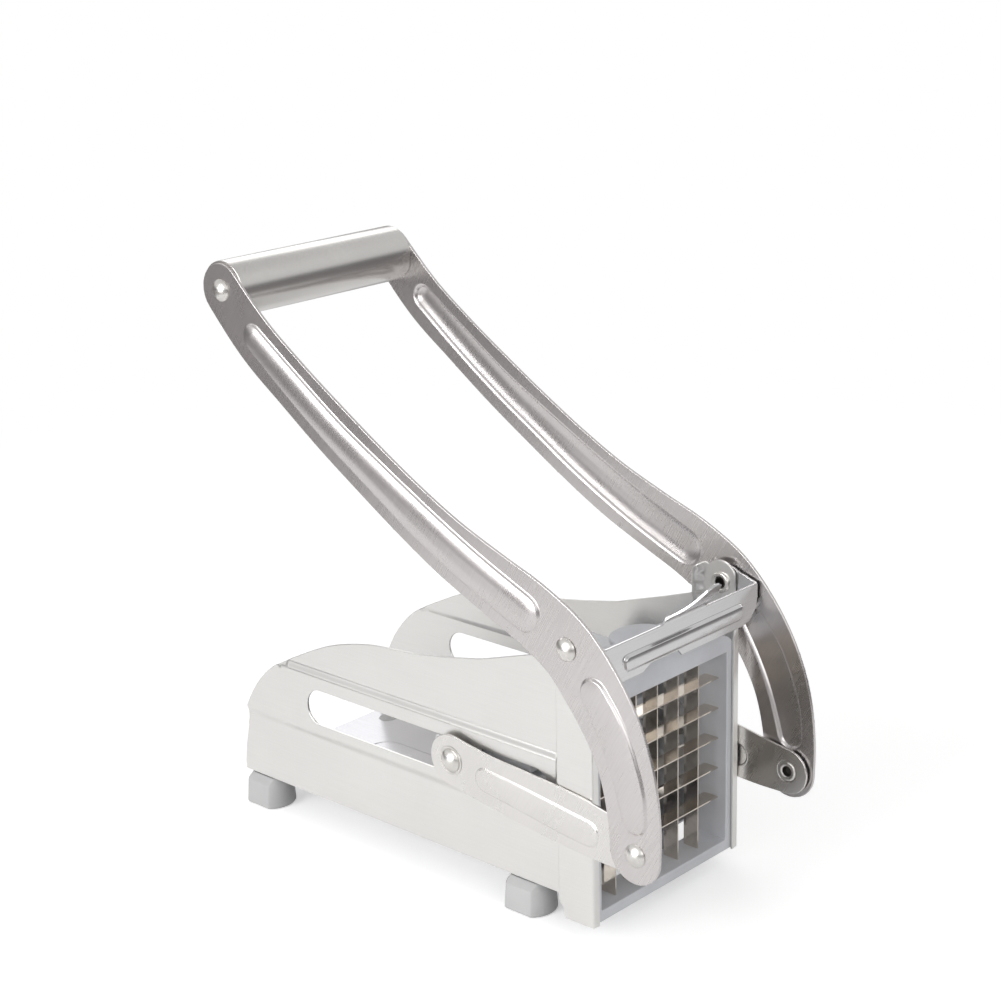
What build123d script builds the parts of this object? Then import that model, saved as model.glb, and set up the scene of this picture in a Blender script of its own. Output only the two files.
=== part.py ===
from build123d import *
import os

# French fry cutter. Millimetres. +X is the blade end, -Y the near side, +Z up.
# Every shape is drawn about the blade grid: X = 0 is the front of the blades, Y = 0 the
# middle plane and Z = 0 the middle of the level blades.
# The last section lowers the origin to the floor under the middle of the part.

# ---- sizes that drive the rest -------------------------------------------------------
BLADE_PITCH = 12.0
BLADES_EACH_WAY = 5
BLADE_THICK = 0.5
BLADE_DEPTH = 6.6
BLADE_BEVEL = 1.4
BLADE_EDGE = 0.12
BLADE_SEAT = 1.6

SHEET = 1.0
ARM_SHEET = 1.2
RUN_GAP = 0.05

WALL_Y = 37.7
BELT_Y = 39.5
COLUMN_Y = 41.2
LINK_Y = 42.5
ARM_Y = 44.4

FLOOR_Z = -38.4
FEET_Z = -51.2
TROUGH_BACK = -182.4
FLOOR_FRONT = -15.2
COLUMN_BACK = -13.8
COLUMN_FRONT = 5.0

OPENING_HALF = 36.2
OPENING_LOW = -40.6
OPENING_HIGH = 35.0
CASSETTE_BACK = -9.65
CASSETTE_FRONT = 3.8
CASSETTE_LOW = -44.9
CASSETTE_TOP = 50.0
CASSETTE_HALF = 41.0

SLOT_MID_Z = 1.1
SLOT_HALF = 7.2
SLOT_BACK = -141.2
SLOT_FRONT = -16.0

PIVOT = (-3.0, 59.3)
LINK_PIN = (26.5, -8.2)
TAIL_PIN = (-61.4, 1.1)
GRIP = (-171.3, 161.9)
PIN_R = 2.95
HEAD_R = 4.25
HEAD_RISE = 2.4
GRIP_R = 11.0

PLATE_HALF = 35.7
STUD = 9.6
STUD_LONG = 18.0
CORNER_CUT = 12.6  # the pusher's two upper corners, which carry no stud

# Stations of the pressed strips: (x, z, half width) along the middle of each one.
ARM_LINE = [
    (GRIP[0], GRIP[1], 10.2),
    (-154.3, 145.3, 10.6),
    (-134.3, 130.8, 10.6),
    (-114.8, 117.7, 11.0),
    (-94.0, 104.7, 11.2),
    (-77.3, 94.8, 11.5),
    (-56.3, 83.7, 12.0),
    (-36.7, 75.4, 12.5),
    (-17.0, 67.3, 13.1),
    (-3.2, 59.3, 13.4),
    (6.9, 48.8, 13.6),
    (16.0, 36.0, 13.1),
    (21.9, 23.0, 12.4),
    (25.6, 5.0, 11.5),
    (26.2, -8.2, 10.8),
]
LONG_BEAD = [
    (-154.5, 146.0, 5.6),
    (-134.3, 131.2, 6.1),
    (-110.0, 114.7, 6.4),
    (-94.0, 105.2, 6.8),
    (-77.0, 95.2, 7.4),
    (-49.0, 80.4, 7.7),
    (-21.8, 68.4, 7.7),
]
SHORT_BEAD = [
    (9.2, 45.8, 6.4),
    (15.6, 36.4, 7.0),
    (21.4, 24.4, 7.0),
    (25.2, 12.2, 6.6),
    (26.4, 5.0, 5.7),
]
LINK_LINE = [
    (TAIL_PIN[0], TAIL_PIN[1], 10.0),
    (-45.0, -1.4, 9.9),
    (-25.0, -3.5, 10.6),
    (0.0, -5.8, 10.7),
    (16.0, -7.5, 9.7),
    (LINK_PIN[0], LINK_PIN[1], 8.8),
]
LINK_BEAD = [
    (-44.4, -1.9, 4.9),
    (-25.0, -4.1, 5.2),
    (-8.0, -6.4, 5.4),
    (4.0, -7.7, 5.2),
]


# ---- helpers -------------------------------------------------------------------------
def upright(face, y_low, y_high):
    """A plate parallel to the side of the cutter, from y_low to y_high."""
    return extrude(Plane.XZ.offset(-y_high) * face, amount=y_high - y_low)


def lengthwise(face, x_low, x_high):
    """A bar along X whose section is drawn as (y, z)."""
    return extrude(Plane.YZ.offset(x_low) * face, amount=x_high - x_low)


def level(face, z_low, z_high):
    """A slab between two heights, drawn as (x, y)."""
    return extrude(Plane.XY.offset(z_low) * face, amount=z_high - z_low)


def round_bar(x, z, radius, y_low, y_high):
    """A round bar across the cutter."""
    return upright(Pos(x, z) * Circle(radius), y_low, y_high)


def block(x_low, x_high, y_low, y_high, z_low, z_high):
    """A plain box between its six faces."""
    middle = Pos((x_low + x_high) / 2, (y_low + y_high) / 2, (z_low + z_high) / 2)
    return middle * Box(x_high - x_low, y_high - y_low, z_high - z_low)


def bent_sheet(points, radius, thick=SHEET):
    """The section of a folded sheet whose middle follows the points."""
    return trace(FilletPolyline(*points, radius=radius), line_width=thick)


def ribbon(stations, inset=0.0):
    """Outline of a strip of changing width that is round at both ends."""
    middles = [Vector(x, z) for x, z, half in stations]
    halves = [half - inset for x, z, half in stations]
    last = len(stations) - 1
    runs = []
    for i in range(last + 1):
        run = middles[min(i + 1, last)] - middles[max(i - 1, 0)]
        runs.append(run.normalized())
    sides = [Vector(-run.Y, run.X) for run in runs]
    left = [m + s * h for m, s, h in zip(middles, sides, halves)]
    right = [m - s * h for m, s, h in zip(middles, sides, halves)]
    tail = middles[0] - runs[0] * halves[0]
    nose = middles[last] + runs[last] * halves[last]
    edges = Spline(*left, tangents=[runs[0], runs[last]])
    edges += ThreePointArc(left[last], nose, right[last])
    edges += Spline(*right[::-1], tangents=[runs[last] * -1, runs[0] * -1])
    edges += ThreePointArc(right[0], tail, left[0])
    return make_face(edges)


def bead(stations, foot, rise, slope, shrink=0.0):
    """A smooth raised bead that stands outward from the plane y = foot."""
    profile = [(0.0, 0.0), (0.30, 0.42), (0.62, 0.80), (1.0, 1.0)]
    layers = []
    for run, climb in profile:
        outline = ribbon(stations, inset=shrink + slope * run)
        layers.append(Plane.XZ.offset(-(foot + rise * climb)) * outline)
    return loft(layers)


def pressed_bead(blank, stations, foot, thick, rise, slope):
    """Press a bead into a flat blank: a hump outside and its hollow inside."""
    hump = bead(stations, foot + thick - 0.02, rise, slope)
    hollow = bead(stations, foot - 0.02, rise, slope, shrink=0.55)
    return blank + hump - hollow


def domed_head(x, z, foot, radius=HEAD_R, rise=HEAD_RISE):
    """A rivet head on the outside, seated at y = foot."""
    ball = (radius * radius + rise * rise) / (2 * rise)
    dome = Pos(x, foot + rise - ball, z) * Sphere(ball)
    return dome & round_bar(x, z, radius, foot, foot + rise)


def far_and_near(piece):
    """A piece on the far side and its mirror image on the near side."""
    return piece, mirror(piece, about=Plane.XZ)


nodes = {}


def pair(name, piece):
    """Identical small parts, one on each side, in one node."""
    far, near = far_and_near(piece)
    nodes[name] = Compound(far.solids() + near.solids())


def sides(name, piece):
    """A handed part and its mirror image, each a node of its own."""
    far, near = far_and_near(piece)
    nodes["far_" + name] = far
    nodes["near_" + name] = near


# ---- side panels ---------------------------------------------------------------------
wall_mid = WALL_Y + SHEET / 2
belt_mid = BELT_Y + SHEET / 2
column_mid = COLUMN_Y + SHEET / 2

wall_section = bent_sheet(
    [
        (wall_mid, FLOOR_Z),
        (wall_mid, -13.2),
        (belt_mid, -9.6),
        (belt_mid, 13.9),
        (wall_mid, 15.7),
        (wall_mid, 58.0),
    ],
    radius=0.9,
)
wall_edge = Polyline(
    (COLUMN_BACK + 0.6, 53.9),
    (-26.3, 49.6),
    (-49.4, 42.2),
)
wall_edge += Spline(
    (-49.4, 42.2),
    (-79.6, 36.4),
    (-108.6, 33.2),
    (-128.1, 28.0),
    (-145.6, 20.0),
    (-163.8, 9.3),
    (-173.7, -2.0),
    (-177.6, -9.0),
)
wall_edge += Polyline(
    (-177.6, -9.0),
    (-179.4, -18.7),
    (-181.5, -28.0),
    (TROUGH_BACK, -34.9),
    (TROUGH_BACK, FLOOR_Z),
    (COLUMN_BACK + 0.6, FLOOR_Z),
    (COLUMN_BACK + 0.6, 53.9),
)
wall = lengthwise(wall_section, TROUGH_BACK, COLUMN_BACK + 0.6)
wall &= upright(make_face(wall_edge), WALL_Y - 1, BELT_Y + 3)

slot_long = SLOT_FRONT - SLOT_BACK
slot_face = Pos((SLOT_FRONT + SLOT_BACK) / 2, SLOT_MID_Z) * SlotOverall(slot_long, 2 * SLOT_HALF)
wall -= upright(slot_face, WALL_Y - 1, BELT_Y + 3)

column_section = bent_sheet(
    [
        (COLUMN_BACK + 0.1, wall_mid),
        (COLUMN_BACK + 1.0, wall_mid),
        (-11.3, column_mid),
        (COLUMN_FRONT - SHEET / 2, column_mid),
        (COLUMN_FRONT - SHEET / 2, 38.9),
    ],
    radius=0.55,
)
EAR_TOP = PIVOT[1] + 8.4
column_edge = Polyline(
    (COLUMN_FRONT + 0.2, -45.1),
    (COLUMN_FRONT + 0.2, 42.0),
    (3.9, 46.0),
    (3.3, 56.7),
    (3.3, 63.3),
)
column_edge += ThreePointArc((3.3, 63.3), (-2.9, EAR_TOP), (-8.8, 65.1))
column_edge += ThreePointArc((-8.8, 65.1), (-11.8, 65.4), (COLUMN_BACK, 63.0))
column_edge += Polyline(
    (COLUMN_BACK, 63.0),
    (COLUMN_BACK, -38.4),
    (-10.8, -39.2),
    (-9.4, -40.7),
    (-9.0, -42.9),
    (-8.1, -45.1),
    (COLUMN_FRONT + 0.2, -45.1),
)
column = level(column_section, -45.1, EAR_TOP + 1)
column &= upright(make_face(column_edge), WALL_Y - 1, COLUMN_Y + 3)
lip_corner = Polyline((COLUMN_Y, 46.0), (COLUMN_Y, 43.6))
lip_corner += ThreePointArc((COLUMN_Y, 43.6), (39.6, 42.6), (38.8, 40.0))
lip_corner += Polyline((38.8, 40.0), (38.0, 40.0), (38.0, 70.0), (COLUMN_Y, 70.0), (COLUMN_Y, 46.0))
column -= lengthwise(make_face(lip_corner), 1.5, COLUMN_FRONT + 1)

side_panel = wall + column
side_panel -= round_bar(*PIVOT, PIN_R + RUN_GAP, COLUMN_Y - 2, COLUMN_Y + 3)
sides("side_panel", side_panel)

# ---- trough floor --------------------------------------------------------------------
FOOT_PLUG_R = 3.6
FOOT_PLUG_Y = 32.5
FOOT_MIDDLE_Y = 34.4
FRONT_FOOT_X = -31.4
REAR_FOOT_X = -172.6
floor = block(TROUGH_BACK, FLOOR_FRONT, -WALL_Y, WALL_Y, FLOOR_Z, FLOOR_Z + SHEET)
PANEL = dict(back=-157.0, front=-30.0, half=16.5, rise=0.9)


def floor_panel(grow, z_low):
    """The raised middle of the floor, or the hollow under it."""
    long = PANEL["front"] - PANEL["back"] + 2 * grow
    wide = 2 * (PANEL["half"] + grow)
    spot = Pos((PANEL["front"] + PANEL["back"]) / 2, 0)
    return level(spot * RectangleRounded(long, wide, 8 + grow), z_low, z_low + PANEL["rise"])


floor += floor_panel(0.0, FLOOR_Z + SHEET)
floor -= floor_panel(-0.8, FLOOR_Z)


def foot_outline(middle_x, radius, flat_at):
    """A disc with its outer side cut off flat."""
    beyond = Pos(middle_x, FOOT_MIDDLE_Y + flat_at + radius) * Rectangle(4 * radius, 2 * radius)
    return Pos(middle_x, FOOT_MIDDLE_Y) * Circle(radius) - beyond


def foot(middle_x):
    """A tapered round plastic foot with a flat outer face, a ledge and a plug on top."""
    sole = foot_outline(middle_x, 9.8, 7.6)
    waist = foot_outline(middle_x, 9.1, 6.9)
    top = foot_outline(middle_x, 7.6, 4.3)
    body = loft([Plane.XY.offset(FEET_Z) * sole, Plane.XY.offset(-41.2) * waist])
    body += loft([Plane.XY.offset(-41.2) * waist, Plane.XY.offset(FLOOR_Z) * top])
    rim = [e for e in body.edges() if abs(e.center().Z - FEET_Z) < 0.01]
    body = chamfer(rim, 0.6)
    plug = Pos(middle_x, FOOT_PLUG_Y, FLOOR_Z + SHEET / 2) * Cylinder(FOOT_PLUG_R, SHEET)
    return body + plug


for name, middle_x in (("front", FRONT_FOOT_X), ("rear", REAR_FOOT_X)):
    far, near = far_and_near(foot(middle_x))
    nodes[name + "_far_foot"] = far
    nodes[name + "_near_foot"] = near
    for side in (-1, 1):
        spot = Pos(middle_x, side * FOOT_PLUG_Y, FLOOR_Z + SHEET / 2)
        floor -= spot * Cylinder(FOOT_PLUG_R, SHEET + 2)
nodes["trough_floor"] = floor

# ---- blade cassette ------------------------------------------------------------------
steps = [i - (BLADES_EACH_WAY - 1) / 2 for i in range(BLADES_EACH_WAY)]
half_lap = BLADE_DEPTH / 2
blade_section = Polyline(
    (0.0, BLADE_THICK / 2),
    (0.0, -BLADE_THICK / 2),
    (BLADE_BEVEL - BLADE_DEPTH, -BLADE_THICK / 2),
    (-BLADE_DEPTH, -BLADE_EDGE / 2),
    (-BLADE_DEPTH, BLADE_EDGE / 2),
    (BLADE_BEVEL - BLADE_DEPTH, BLADE_THICK / 2),
    close=True,
)
blade_face = make_face(blade_section)
uprights = []
for step in steps:
    y = step * BLADE_PITCH
    strip = level(Pos(0, y) * blade_face, OPENING_LOW - BLADE_SEAT, OPENING_HIGH + BLADE_SEAT)
    for other in steps:
        z = other * BLADE_PITCH
        strip -= block(-half_lap, 1.0, y - 1, y + 1, z - BLADE_THICK / 2, z + BLADE_THICK / 2)
    uprights.append(strip)
levels = []
for step in steps:
    z = step * BLADE_PITCH
    reach = OPENING_HALF + BLADE_SEAT
    strip = upright(Pos(0, z) * blade_face, -reach, reach)
    for other in steps:
        y = other * BLADE_PITCH
        strip -= block(
            -BLADE_DEPTH - 1, -half_lap,
            y - BLADE_THICK / 2, y + BLADE_THICK / 2, z - 1, z + 1,
        )
    levels.append(strip)
nodes["upright_blades"] = Compound([strip.solid() for strip in uprights])
nodes["level_blades"] = Compound([strip.solid() for strip in levels])

frame_edge = Polyline(
    (-CASSETTE_HALF, CASSETTE_LOW),
    (CASSETTE_HALF, CASSETTE_LOW),
    (CASSETTE_HALF, 37.5),
    (38.0, 40.2),
    (34.0, 42.4),
    (29.0, CASSETTE_TOP),
    (-29.0, CASSETTE_TOP),
    (-34.0, 42.4),
    (-38.0, 40.2),
    (-CASSETTE_HALF, 37.5),
    close=True,
)
cassette = lengthwise(make_face(frame_edge), CASSETTE_BACK, CASSETTE_FRONT)
cassette -= block(
    CASSETTE_BACK - 1, CASSETTE_FRONT + 1,
    -OPENING_HALF, OPENING_HALF, OPENING_LOW, OPENING_HIGH,
)
tab_face = Pos(-13.0, 0) * RectangleRounded(10.7, 19.5, 4.0)
cassette += level(tab_face, CASSETTE_TOP - 2.0, CASSETTE_TOP)
for strip in uprights + levels:
    cassette -= strip
nodes["cassette_frame"] = cassette

# ---- ear rivets and washers ----------------------------------------------------------
HEAD_FOOT = ARM_Y + ARM_SHEET + 0.1
ear_rivet = round_bar(*PIVOT, 4.0, COLUMN_Y - 1.1, COLUMN_Y)
ear_rivet += round_bar(*PIVOT, PIN_R, COLUMN_Y, HEAD_FOOT)
ear_rivet += domed_head(*PIVOT, HEAD_FOOT)
ear_rivet -= round_bar(*PIVOT, 2.2, COLUMN_Y - 2, HEAD_FOOT - 0.6)
pair("handle_pivot_rivets", ear_rivet)


def washer(spot):
    """A flat spacer between a cheek or link and its arm."""
    ring = round_bar(*spot, 5.5, LINK_Y + SHEET + 0.1, ARM_Y - 0.1)
    return ring - round_bar(*spot, PIN_R + RUN_GAP, LINK_Y, ARM_Y + 1)


pair("pivot_washers", washer(PIVOT))

# ---- blade clip ----------------------------------------------------------------------
CLIP_FRONT = 12.3
CLIP_TOP = 62.0
CLIP_HALF = LINK_Y + SHEET
face_mid = CLIP_FRONT - SHEET / 2
face_edge = Polyline(
    (-CLIP_HALF, CLIP_TOP),
    (-CLIP_HALF, 56.0),
    (-41.6, 52.0),
    (-38.0, 48.6),
    (-34.0, 47.8),
    (-23.0, 47.8),
    (-19.0, 49.9),
    (-3.5, 49.9),
    (-1.5, 47.6),
    (34.0, 47.8),
    (38.0, 48.6),
    (41.6, 52.0),
    (CLIP_HALF, 56.0),
    (CLIP_HALF, CLIP_TOP),
    close=True,
)
clip = lengthwise(make_face(face_edge), CLIP_FRONT - SHEET, CLIP_FRONT)
rib_face = Pos(0, 54.6) * SlotOverall(68.0, 5.0)
clip += lengthwise(rib_face, CLIP_FRONT - 0.1, CLIP_FRONT + 1.4)
hollow_face = Pos(0, 54.6) * SlotOverall(66.2, 3.2)
clip -= lengthwise(hollow_face, CLIP_FRONT - SHEET - 1, CLIP_FRONT + 0.5)

clip += block(2.5, CLIP_FRONT - 0.1, -18.6, -3.9, CASSETTE_TOP + 0.1, CASSETTE_TOP + 0.1 + SHEET)

cheek_edge = Polyline((-3.2, PIVOT[1] + 8.5), (3.5, 64.6), (CLIP_FRONT, CLIP_TOP))
cheek_edge += Polyline((CLIP_FRONT, CLIP_TOP), (CLIP_FRONT, 56.0), (10.2, 52.8), (8.2, 47.4))
cheek_edge += Polyline((8.2, 47.4), (3.0, 48.6), (-3.2, PIVOT[1] - 8.5))
cheek_edge += ThreePointArc(
    (-3.2, PIVOT[1] - 8.5), (-11.6, PIVOT[1]), (-3.2, PIVOT[1] + 8.5)
)
cheek = upright(make_face(cheek_edge), LINK_Y, LINK_Y + SHEET)
cheek -= round_bar(*PIVOT, PIN_R + RUN_GAP, LINK_Y - 1, LINK_Y + 3)
far_cheek, near_cheek = far_and_near(cheek)
clip += far_cheek
clip += near_cheek

tab_profile = trace(
    Polyline((face_mid, 59.5), (face_mid, 61.6))
    + Spline(
        (face_mid, 61.6), (18.4, 66.0), (23.0, 71.0), (26.0, 74.8),
        tangents=[(0.75, 1.0), (0.55, 1.0)],
    ),
    line_width=SHEET,
)
thumb_tab = upright(tab_profile, -14, 14)
tab_outline = Spline(
    (58.0, 12.6), (62.0, 12.0), (66.0, 8.0), (71.0, 5.4), (73.6, 4.2), (75.6, 0.0),
)
tab_outline += Spline(
    (75.6, 0.0), (73.6, -4.2), (71.0, -5.4), (66.0, -8.0), (62.0, -12.0), (58.0, -12.6),
)
tab_outline += Line((58.0, -12.6), (58.0, 12.6))
tab_trim = extrude(Plane((0, 0, 0), x_dir=(0, 0, 1), z_dir=(1, 0, 0)) * make_face(tab_outline), 40)
thumb_tab = thumb_tab & mirror(tab_trim, about=Plane.XZ)
clip += thumb_tab
nodes["blade_clip"] = clip

# ---- handle --------------------------------------------------------------------------
arm = upright(ribbon(ARM_LINE), ARM_Y, ARM_Y + ARM_SHEET)
arm = pressed_bead(arm, LONG_BEAD, ARM_Y, ARM_SHEET, 1.5, 2.4)
arm = pressed_bead(arm, SHORT_BEAD, ARM_Y, ARM_SHEET, 1.5, 2.4)
for spot in (PIVOT, LINK_PIN, GRIP):
    arm -= round_bar(*spot, PIN_R + RUN_GAP, ARM_Y - 1, ARM_Y + 3)
sides("arm", arm)

tube = round_bar(*GRIP, GRIP_R, -ARM_Y, ARM_Y)
tube -= round_bar(*GRIP, GRIP_R - 1.2, -ARM_Y - 1, ARM_Y + 1)
nodes["grip_tube"] = tube

rod = round_bar(*GRIP, PIN_R, -ARM_Y - ARM_SHEET, ARM_Y + ARM_SHEET)
rod_head = domed_head(*GRIP, ARM_Y + ARM_SHEET)
far_head, near_head = far_and_near(rod_head)
nodes["grip_rod"] = rod + far_head + near_head

# ---- links ---------------------------------------------------------------------------
SINK = 0.7
link_rivet = round_bar(*LINK_PIN, 3.9, LINK_Y - 0.1, LINK_Y + SINK - 0.1)
link_rivet += round_bar(*LINK_PIN, PIN_R, LINK_Y, ARM_Y + ARM_SHEET)
link_rivet += domed_head(*LINK_PIN, ARM_Y + ARM_SHEET)
link_rivet -= round_bar(*LINK_PIN, 2.0, LINK_Y - 1, ARM_Y + 0.6)
pair("link_rivets", link_rivet)
pair("link_washers", washer(LINK_PIN))

link = upright(ribbon(LINK_LINE), LINK_Y, LINK_Y + SHEET)
link = pressed_bead(link, LINK_BEAD, LINK_Y, SHEET, 0.6, 1.4)
link -= round_bar(*LINK_PIN, PIN_R + RUN_GAP, LINK_Y - 1, LINK_Y + 3)
link -= round_bar(*LINK_PIN, 4.1, LINK_Y - 1, LINK_Y + SINK)
link -= round_bar(*TAIL_PIN, PIN_R, LINK_Y - 1, LINK_Y + 3)
sides("link", link)

tail_rivet = round_bar(*TAIL_PIN, PIN_R, LINK_Y - 0.2, LINK_Y + SHEET)
tail_rivet += round_bar(*TAIL_PIN, 5.6, LINK_Y + SHEET, LINK_Y + SHEET + 0.35)
tail_rivet += domed_head(*TAIL_PIN, LINK_Y + SHEET, radius=HEAD_R + 0.1, rise=HEAD_RISE)
sides("tail_rivet", tail_rivet)

# ---- pusher --------------------------------------------------------------------------
plate_back = TAIL_PIN[0] + 8.7
plate_front = TAIL_PIN[0] + 12.7
plate_rim = [(-PLATE_HALF, -35.6), (PLATE_HALF, -35.6), (PLATE_HALF, 34.4 - CORNER_CUT)]
plate_rim += [(PLATE_HALF - CORNER_CUT, 34.4), (CORNER_CUT - PLATE_HALF, 34.4)]
plate_rim += [(-PLATE_HALF, 34.4 - CORNER_CUT)]
plate_face = Plane.YZ.offset(plate_back) * Polygon(*plate_rim, align=None)
plate = extrude(plate_face, plate_front - plate_back)
nodes["pusher_plate"] = plate
stud_rows = [-30.0, -18.0, -6.0, 6.0, 18.0, 29.6]
stud_columns = [(i - 2.5) * BLADE_PITCH for i in range(6)]
studs = []
for y in stud_columns:
    for z in stud_rows:
        if abs(y) > PLATE_HALF - CORNER_CUT and z > 34.4 - CORNER_CUT:
            continue
        stud = block(
            plate_front, plate_front + STUD_LONG,
            y - STUD / 2, y + STUD / 2, z - STUD / 2, z + STUD / 2,
        )
        studs.append(stud.solid())
nodes["pusher_studs"] = Compound(studs)

bracket_section = bent_sheet(
    [
        (TAIL_PIN[0] - 9.0, PLATE_HALF + 0.6),
        (plate_back - 0.6, PLATE_HALF + 0.6),
        (plate_back - 0.6, -PLATE_HALF - 0.6),
        (TAIL_PIN[0] - 9.0, -PLATE_HALF - 0.6),
    ],
    radius=0.65,
    thick=1.2,
)
bracket = level(bracket_section, SLOT_MID_Z - 9.0, SLOT_MID_Z + 9.0)
for side in (-1, 1):
    low, high = sorted((side * 30.0, side * 42.0))
    bracket -= round_bar(*TAIL_PIN, PIN_R, low, high)
nodes["pusher_bracket"] = bracket

BLOCK_IN = PLATE_HALF + 1.2
BLOCK_OUT = COLUMN_Y
slide_block = block(
    TAIL_PIN[0] - 10.0, TAIL_PIN[0] + 10.0, BLOCK_IN, BLOCK_OUT,
    SLOT_MID_Z - SLOT_HALF + 0.2, SLOT_MID_Z + SLOT_HALF - 0.2,
)
slide_block = fillet(slide_block.edges().filter_by(Axis.Y), 1.5)
slide_block -= round_bar(*TAIL_PIN, PIN_R, BLOCK_IN - 1, BLOCK_OUT + 1)
sides("slide_block", slide_block)

slide_pin = round_bar(*TAIL_PIN, PIN_R, PLATE_HALF, LINK_Y - 0.4)
slide_pin += round_bar(*TAIL_PIN, 4.6, PLATE_HALF - 1.4, PLATE_HALF)
pair("slide_pins", slide_pin)

# ---- the shared frame ----------------------------------------------------------------
boxes = [shape.bounding_box() for shape in nodes.values()]
x_back = min(box.min.X for box in boxes)
x_front = max(box.max.X for box in boxes)
to_frame = Pos(-(x_back + x_front) / 2, 0, -FEET_Z)
os.makedirs("parts", exist_ok=True)
print("moved to the frame by", to_frame.position)
for name, shape in nodes.items():
    solids = [to_frame * solid for solid in shape.solids()]
    placed = Compound(solids) if len(solids) > 1 else solids[0]
    placed.label = name
    export_step(placed, f"parts/{name}.step")
    size = placed.bounding_box().size
    print(f"{name:22s} solids {len(placed.solids()):2d}  volume {placed.volume:10.1f}  {size}")
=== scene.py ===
# %% [markdown]
# A table-top french fry cutter: two curved steel arms share one grip. Pressed down, they draw
# a studded pusher along a steel trough and press a potato through a grid of blades. The
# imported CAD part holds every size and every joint. This lesson dresses it: each pressed
# sheet, rivet and moulding is built again as a fine mesh in the same place.

import math

import bpy
import numpy as np
from mathutils import Matrix, Vector, geometry, kdtree


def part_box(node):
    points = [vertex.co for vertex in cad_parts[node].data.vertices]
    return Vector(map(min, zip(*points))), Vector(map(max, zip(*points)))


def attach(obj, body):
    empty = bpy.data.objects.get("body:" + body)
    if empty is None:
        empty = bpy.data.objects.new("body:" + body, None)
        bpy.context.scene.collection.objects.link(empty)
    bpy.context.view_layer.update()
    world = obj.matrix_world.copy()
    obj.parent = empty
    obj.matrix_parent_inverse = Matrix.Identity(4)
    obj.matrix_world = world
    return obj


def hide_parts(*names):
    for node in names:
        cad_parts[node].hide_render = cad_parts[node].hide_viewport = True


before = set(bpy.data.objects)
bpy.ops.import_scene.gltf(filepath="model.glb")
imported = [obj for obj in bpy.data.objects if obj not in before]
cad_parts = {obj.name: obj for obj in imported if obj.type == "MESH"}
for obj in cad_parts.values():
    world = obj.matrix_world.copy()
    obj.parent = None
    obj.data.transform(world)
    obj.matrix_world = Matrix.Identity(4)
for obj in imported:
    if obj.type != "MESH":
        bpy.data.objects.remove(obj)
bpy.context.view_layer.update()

# %% [markdown]
# The pieces are drawn in millimetres about the blade grid, as the sheet-metal drawings are:
# X is 0 at the front of the blades, Y is 0 in the middle plane, and Z is 0 at the middle
# level blade. The level blades' own box says where that drawing lies in the shared frame.

# %% Where the drawing lies
MM = 0.001
blade_low, blade_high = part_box("level_blades")
GRID_X = blade_high.x
GRID_Z = (blade_low.z + blade_high.z) / 2
TO_FRAME = Matrix.Translation((GRID_X, 0, GRID_Z)) @ Matrix.Scale(MM, 4)
print("drawing origin:", [round(v, 4) for v in TO_FRAME.translation])

# %% [markdown]
# Most of this cutter is sheet steel. These are the planes that the sheets' inner faces lie
# in, counted outward from the middle of the cutter, and the pins, as (x, z), that everything
# turns on.

# %% Planes and pins
SHEET = 1.0
ARM_SHEET = 1.2
WALL_Y = 37.7
BELT_Y = 39.5
COLUMN_Y = 41.2
LINK_Y = 42.5
ARM_Y = 44.4
HEAD_Y = ARM_Y + ARM_SHEET
PIVOT = (-3.0, 59.3)
LINK_PIN = (26.5, -8.2)
TAIL_PIN = (-61.4, 1.1)
GRIP = (-171.3, 161.9)
PIN_R = 2.95
HOLE_PLAY = 0.05
HOLE_R = PIN_R + HOLE_PLAY
HEAD_R = 4.25
print(f"the arms' outer faces lie {HEAD_Y:.1f} mm from the middle plane")

# %% [markdown]
# Shader maths reads best as sums. A Wire holds one output socket; adding or multiplying
# wires adds the Math nodes, and node() adds any other kind with its settings first and then
# the values or links of its sockets.

# %% A wire for shader sums


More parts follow.
